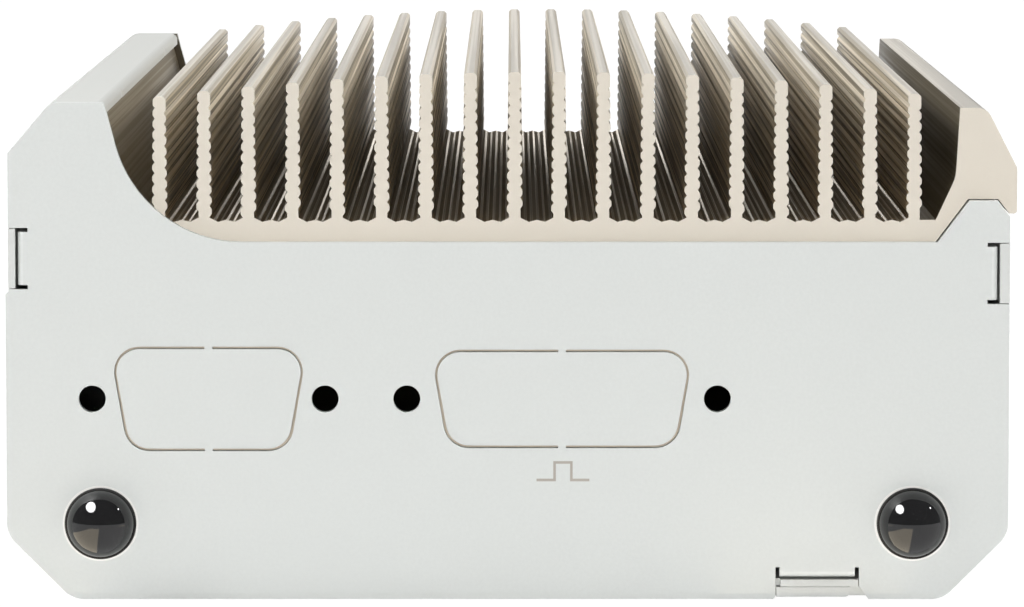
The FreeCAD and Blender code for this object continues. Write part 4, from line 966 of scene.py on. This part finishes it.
@dataclass
class JackContacts:
    """The eight sprung contacts that slope up from the floor of one network socket's mouth."""

    node: str
    count: int = 8
    pitch_mm: float = 1.02
    width_mm: float = 0.42
    sheet_mm: float = 0.22
    start_mm: float = 1.2
    length_mm: float = 7.5
    rise_mm: float = 3.0
    floor_mm: float = 18.0

    def build(self) -> bpy.types.Object:
        """Build one contact, slope its inner end, copy it across the mouth and join the row."""
        low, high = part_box(self.node)
        middle = (low.y + high.y) / 2
        first = middle - self.pitch_mm * MM * (self.count - 1) / 2
        corner = Vector((low.x + self.start_mm * MM, first - self.width_mm * MM / 2, self.floor_mm * MM))
        size = Vector((self.length_mm, self.width_mm, self.sheet_mm)) * MM
        strip = add_block(corner, corner + size)
        pick_faces(strip, lambda face: face.normal.x > 0.9)
        bpy.ops.transform.translate(value=(0.0, 0.0, self.rise_mm * MM))
        bpy.ops.object.mode_set(mode="OBJECT")
        apply_bevel(strip, 0.05, 2, 50.0)
        smooth(strip, 40.0)
        row = [strip]
        for index in range(1, self.count):
            row.append(duplicate(strip, Vector((0.0, index * self.pitch_mm * MM, 0.0))))
        return settle(join(row), f"{self.node}_contacts", "socket_shield", finish="gold_contact")


@dataclass
class PulseMark:
    """A small generic mark on the front panel: one square pulse, printed flat."""

    left_mm: float = 2.7
    foot_mm: float = 12.75
    step_mm: float = 1.8
    height_mm: float = 1.9
    stroke_mm: float = 0.28
    ink_mm: float = 0.03

    def build(self) -> bpy.types.Object:
        """Build the mark as one stroke that is drawn by extruding its end from square to square."""
        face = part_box("front_end_panel")[0][1]
        stroke, step, rise = self.stroke_mm * MM, self.step_mm * MM, self.height_mm * MM
        here = Vector((self.left_mm * MM + stroke / 2, face, self.foot_mm * MM + stroke / 2))
        clear_selection()
        upright = (math.radians(90.0), 0.0, 0.0)
        bpy.ops.mesh.primitive_plane_add(size=stroke, location=here, rotation=upright)
        mark = bpy.context.active_object
        bpy.ops.object.transform_apply(location=True, rotation=True, scale=True)
        across = (Way.RIGHT, step)
        for run, length in (across, (Way.UP, rise), across, (Way.DOWN, rise), across):
            way = Vector(run.value)
            self._pick_edge(mark, here + way * stroke / 2)
            for reach in (length - stroke, stroke):
                bpy.ops.mesh.extrude_edges_move(TRANSFORM_OT_translate={"value": way * reach})
            here = here + way * length
        bpy.ops.mesh.select_all(action="SELECT")
        bpy.ops.mesh.extrude_region_move(TRANSFORM_OT_translate={"value": (0.0, -self.ink_mm * MM, 0.0)})
        bpy.ops.mesh.select_all(action="SELECT")
        bpy.ops.mesh.normals_make_consistent(inside=False)
        bpy.ops.object.mode_set(mode="OBJECT")
        return settle(mark, "pulse_mark", "panel_paint", finish="print_ink")

    def _pick_edge(self, mark: bpy.types.Object, middle: Vector) -> None:
        """Select the one edge whose middle is at a place, and stay in edit mode.

        Args:
            mark: the mesh object.
            middle: the place.
        """
        select_only(mark)
        bpy.ops.object.mode_set(mode="EDIT")
        bpy.ops.mesh.select_mode(type="EDGE")
        bpy.ops.mesh.select_all(action="DESELECT")
        bpy.ops.object.mode_set(mode="OBJECT")
        spots = [vertex.co for vertex in mark.data.vertices]
        for edge in mark.data.edges:
            first, second = edge.vertices
            edge.select = ((spots[first] + spots[second]) / 2 - middle).length < 0.01 * MM
        bpy.ops.object.mode_set(mode="EDIT")


# ------------------------------------------------------------------------------ stage


@dataclass
class Stage:
    """Plain pale floor, soft studio lamps, and the camera in front of the front panel."""

    floor_side: float = 6.0
    camera_place: Vector = field(default_factory=lambda: Vector((0.000067, -0.75942, 0.093976)))
    lamps_target: Vector = field(default_factory=lambda: Vector((0.0, 0.0, 0.03)))
    pitch_down: float = 5.1916
    focal_length: float = 225.0
    sensor_width: float = 36.0
    view_limit: float = 20.0

    def build(self) -> None:
        """Add the floor, the lamps, the world and the camera."""
        self._floor()
        self._soft_lamps()
        self._mirrored_lamps()
        self._world()
        self._camera()

    def _soft_lamps(self) -> None:
        """The lamps that light the case: before it, behind it and high on both sides."""
        self._matt_lamp("front_lamp", Vector((-0.05, -3.2, 0.30)), 0.7, 53.0)
        self._matt_lamp("back_lamp", Vector((0.0, 3.2, 0.42)), 0.9, 60.0)
        self._matt_lamp("left_top_lamp", Vector((-1.75, 0.05, 1.5)), 0.8, 38.0)
        self._matt_lamp("right_top_lamp", Vector((1.75, 0.05, 1.5)), 0.8, 38.0)

    def _mirrored_lamps(self) -> None:
        """The lamps that only glossy faces show: sheen on the ridges, lights on the domes."""
        sheen = self._gloss_lamp("sheen_lamp", Vector((0.0, 3.2, 0.32)), 0.9, 3.2)
        sheen.data.color = (1.0, 0.93, 0.82)
        self._gloss_lamp("spark_lamp", Vector((1.2, -0.12, 1.0)), 0.10, 1.4)
        window = self._gloss_lamp("window_lamp", Vector((-0.185, -0.180, 0.262)), 0.150, 2.4)
        window.data.shape = "ELLIPSE"
        window.data.size_y = 0.230
        self._aim(window, Vector((-0.044, -0.080, 0.008)), Vector((-0.18, 0.93, 0.32)))
        for plug in PLUGS:
            low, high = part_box(plug)
            place = Vector(((low.x + high.x) / 2 - 0.011, low.y - 0.012, 0.0006))
            card = self._gloss_lamp(f"{plug}_card", place, 0.020, 0.0052)
            card.data.shape = "RECTANGLE"
            card.data.size_y = 0.040
            card.data.color = (1.0, 0.84, 0.58)
            self._aim(card, place + Vector((0.0, 0.0, 1.0)), Vector((0.0, 1.0, 0.0)))

    def _aim(self, lamp: bpy.types.Object, target: Vector, length_axis: Vector) -> None:
        """Aim a lamp at a place.

        Args:
            lamp: the lamp.
            target: the place it looks at.
            length_axis: the direction that its face's second side follows as closely as it can.
        """
        back = (lamp.location - target).normalized()
        along = (length_axis - back * length_axis.dot(back)).normalized()
        lamp.rotation_euler = Matrix((along.cross(back), along, back)).transposed().to_euler()

    def _matt_lamp(self, name: str, place: Vector, size: float, power: float) -> bpy.types.Object:
        """A soft lamp that leaves no reflection of itself in glossy faces."""
        lamp = self._lamp(name, place, size, power)
        lamp.visible_glossy = False
        lamp.visible_camera = False
        return lamp

    def _gloss_lamp(self, name: str, place: Vector, size: float, power: float) -> bpy.types.Object:
        """A lamp that shows only as a reflection in glossy faces."""
        lamp = self._lamp(name, place, size, power)
        lamp.visible_diffuse = False
        lamp.visible_camera = False
        return lamp

    def _floor(self) -> None:
        """A large white floor that keeps a soft shadow."""
        clear_selection()
        bpy.ops.mesh.primitive_plane_add(size=self.floor_side, location=(0.0, 0.0, -0.0001))
        floor = bpy.context.active_object
        floor.name = "studio_floor"
        made = bpy.data.materials.new("studio_floor")
        made.use_nodes = True
        graph = Graph(made.node_tree)
        ray = graph.node("ShaderNodeLightPath")
        camera, gloss = (Signal(graph, ray.outputs[f"Is {kind} Ray"]) for kind in ("Camera", "Glossy"))
        seen = graph.maths("MAXIMUM", camera, gloss)
        matt = graph.node("ShaderNodeBsdfDiffuse", Color=(0.86, 0.86, 0.86))
        glow = graph.node("ShaderNodeEmission", Color=(1.0, 1.0, 1.0), Strength=1.07)
        mixed = graph.node("ShaderNodeMixShader", Fac=seen * 0.93)
        graph.tree.links.new(matt.outputs[0], mixed.inputs[1])
        graph.tree.links.new(glow.outputs[0], mixed.inputs[2])
        out = graph.node("ShaderNodeOutputMaterial")
        graph.tree.links.new(mixed.outputs[0], out.inputs["Surface"])
        floor.data.materials.append(made)

    def _lamp(self, name: str, place: Vector, size: float, power: float) -> bpy.types.Object:
        """One round area lamp, aimed at the case.

        Args:
            name: its name.
            place: where it stands.
            size: its diameter in metres.
            power: its power in watts.

        Returns:
            The lamp.
        """
        clear_selection()
        bpy.ops.object.light_add(type="AREA", location=place)
        lamp = bpy.context.active_object
        lamp.name = name
        lamp.data.shape = "DISK"
        lamp.data.size = size
        lamp.data.energy = power
        lamp.rotation_euler = (self.lamps_target - place).to_track_quat("-Z", "Y").to_euler()
        return lamp

    def _world(self) -> None:
        """White to the camera, a soft even glow to everything else."""
        world = bpy.data.worlds.new("studio")
        bpy.context.scene.world = world
        world.use_nodes = True
        graph = Graph(world.node_tree)
        ray = graph.node("ShaderNodeLightPath")
        up = graph.part(graph.node("ShaderNodeTexCoord").outputs["Generated"], "Z")
        sky = graph.ramp(up * 0.5 + 0.5, ((0.43, 1.0), (0.47, 0.1)))
        kinds = ("Camera", "Transmission", "Glossy")
        camera, through, gloss = (Signal(graph, ray.outputs[f"Is {kind} Ray"]) for kind in kinds)
        clear = camera + through
        soft = graph.node("ShaderNodeBackground", Color=(1.0, 1.0, 1.0), Strength=0.05)
        white = graph.node("ShaderNodeBackground", Color=(1.0, 1.0, 1.0), Strength=1.0)
        mirror = graph.node("ShaderNodeBackground", Color=sky.socket, Strength=1.0)
        first = graph.node("ShaderNodeMixShader", Fac=gloss)
        graph.tree.links.new(soft.outputs[0], first.inputs[1])
        graph.tree.links.new(mirror.outputs[0], first.inputs[2])
        second = graph.node("ShaderNodeMixShader", Fac=clear)
        graph.tree.links.new(first.outputs[0], second.inputs[1])
        graph.tree.links.new(white.outputs[0], second.inputs[2])
        out = graph.node("ShaderNodeOutputWorld")
        graph.tree.links.new(second.outputs[0], out.inputs["Surface"])

    def _camera(self) -> None:
        """A long lens level with the panel, looking slightly down."""
        clear_selection()
        turn = (math.radians(90.0 - self.pitch_down), 0.0, 0.0)
        bpy.ops.object.camera_add(location=self.camera_place, rotation=turn)
        camera = bpy.context.active_object
        camera.data.lens = self.focal_length
        camera.data.sensor_width = self.sensor_width
        camera.data.clip_end = self.view_limit
        bpy.context.scene.camera = camera


# ------------------------------------------------------------------------------ main


def dress_nodes(frame: dict) -> None:
    """Give every CAD node the finish of its own slot.
    """
    slots = {row["node"]: row["material_slot"] for row in frame["record"]["subparts"]}
    for name, node in frame["nodes"].items():
        node.data.materials.clear()
        node.data.materials.append(FINISHES[slots[name]].material())
        smooth(node, 30.0)
        LOG.info("%s: dressed as %s", name, slots[name])


def main() -> None:
    """Build, dress and stage the computer."""
    logging.basicConfig(level=logging.INFO)
    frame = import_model()
    dress_nodes(frame)
    for refined in REFINED:
        refined.build(frame)
    for plug in PLUGS:
        DomePlug(plug).build()
    SlitBacking().build(frame["record"])
    PulseMark().build()
    for number in (1, 2, 3):
        JackContacts(f"ethernet_socket_{number}").build()
    Stage().build()
    bpy.context.scene.view_settings.view_transform = "Standard"


if __name__ == "__main__":
    main()
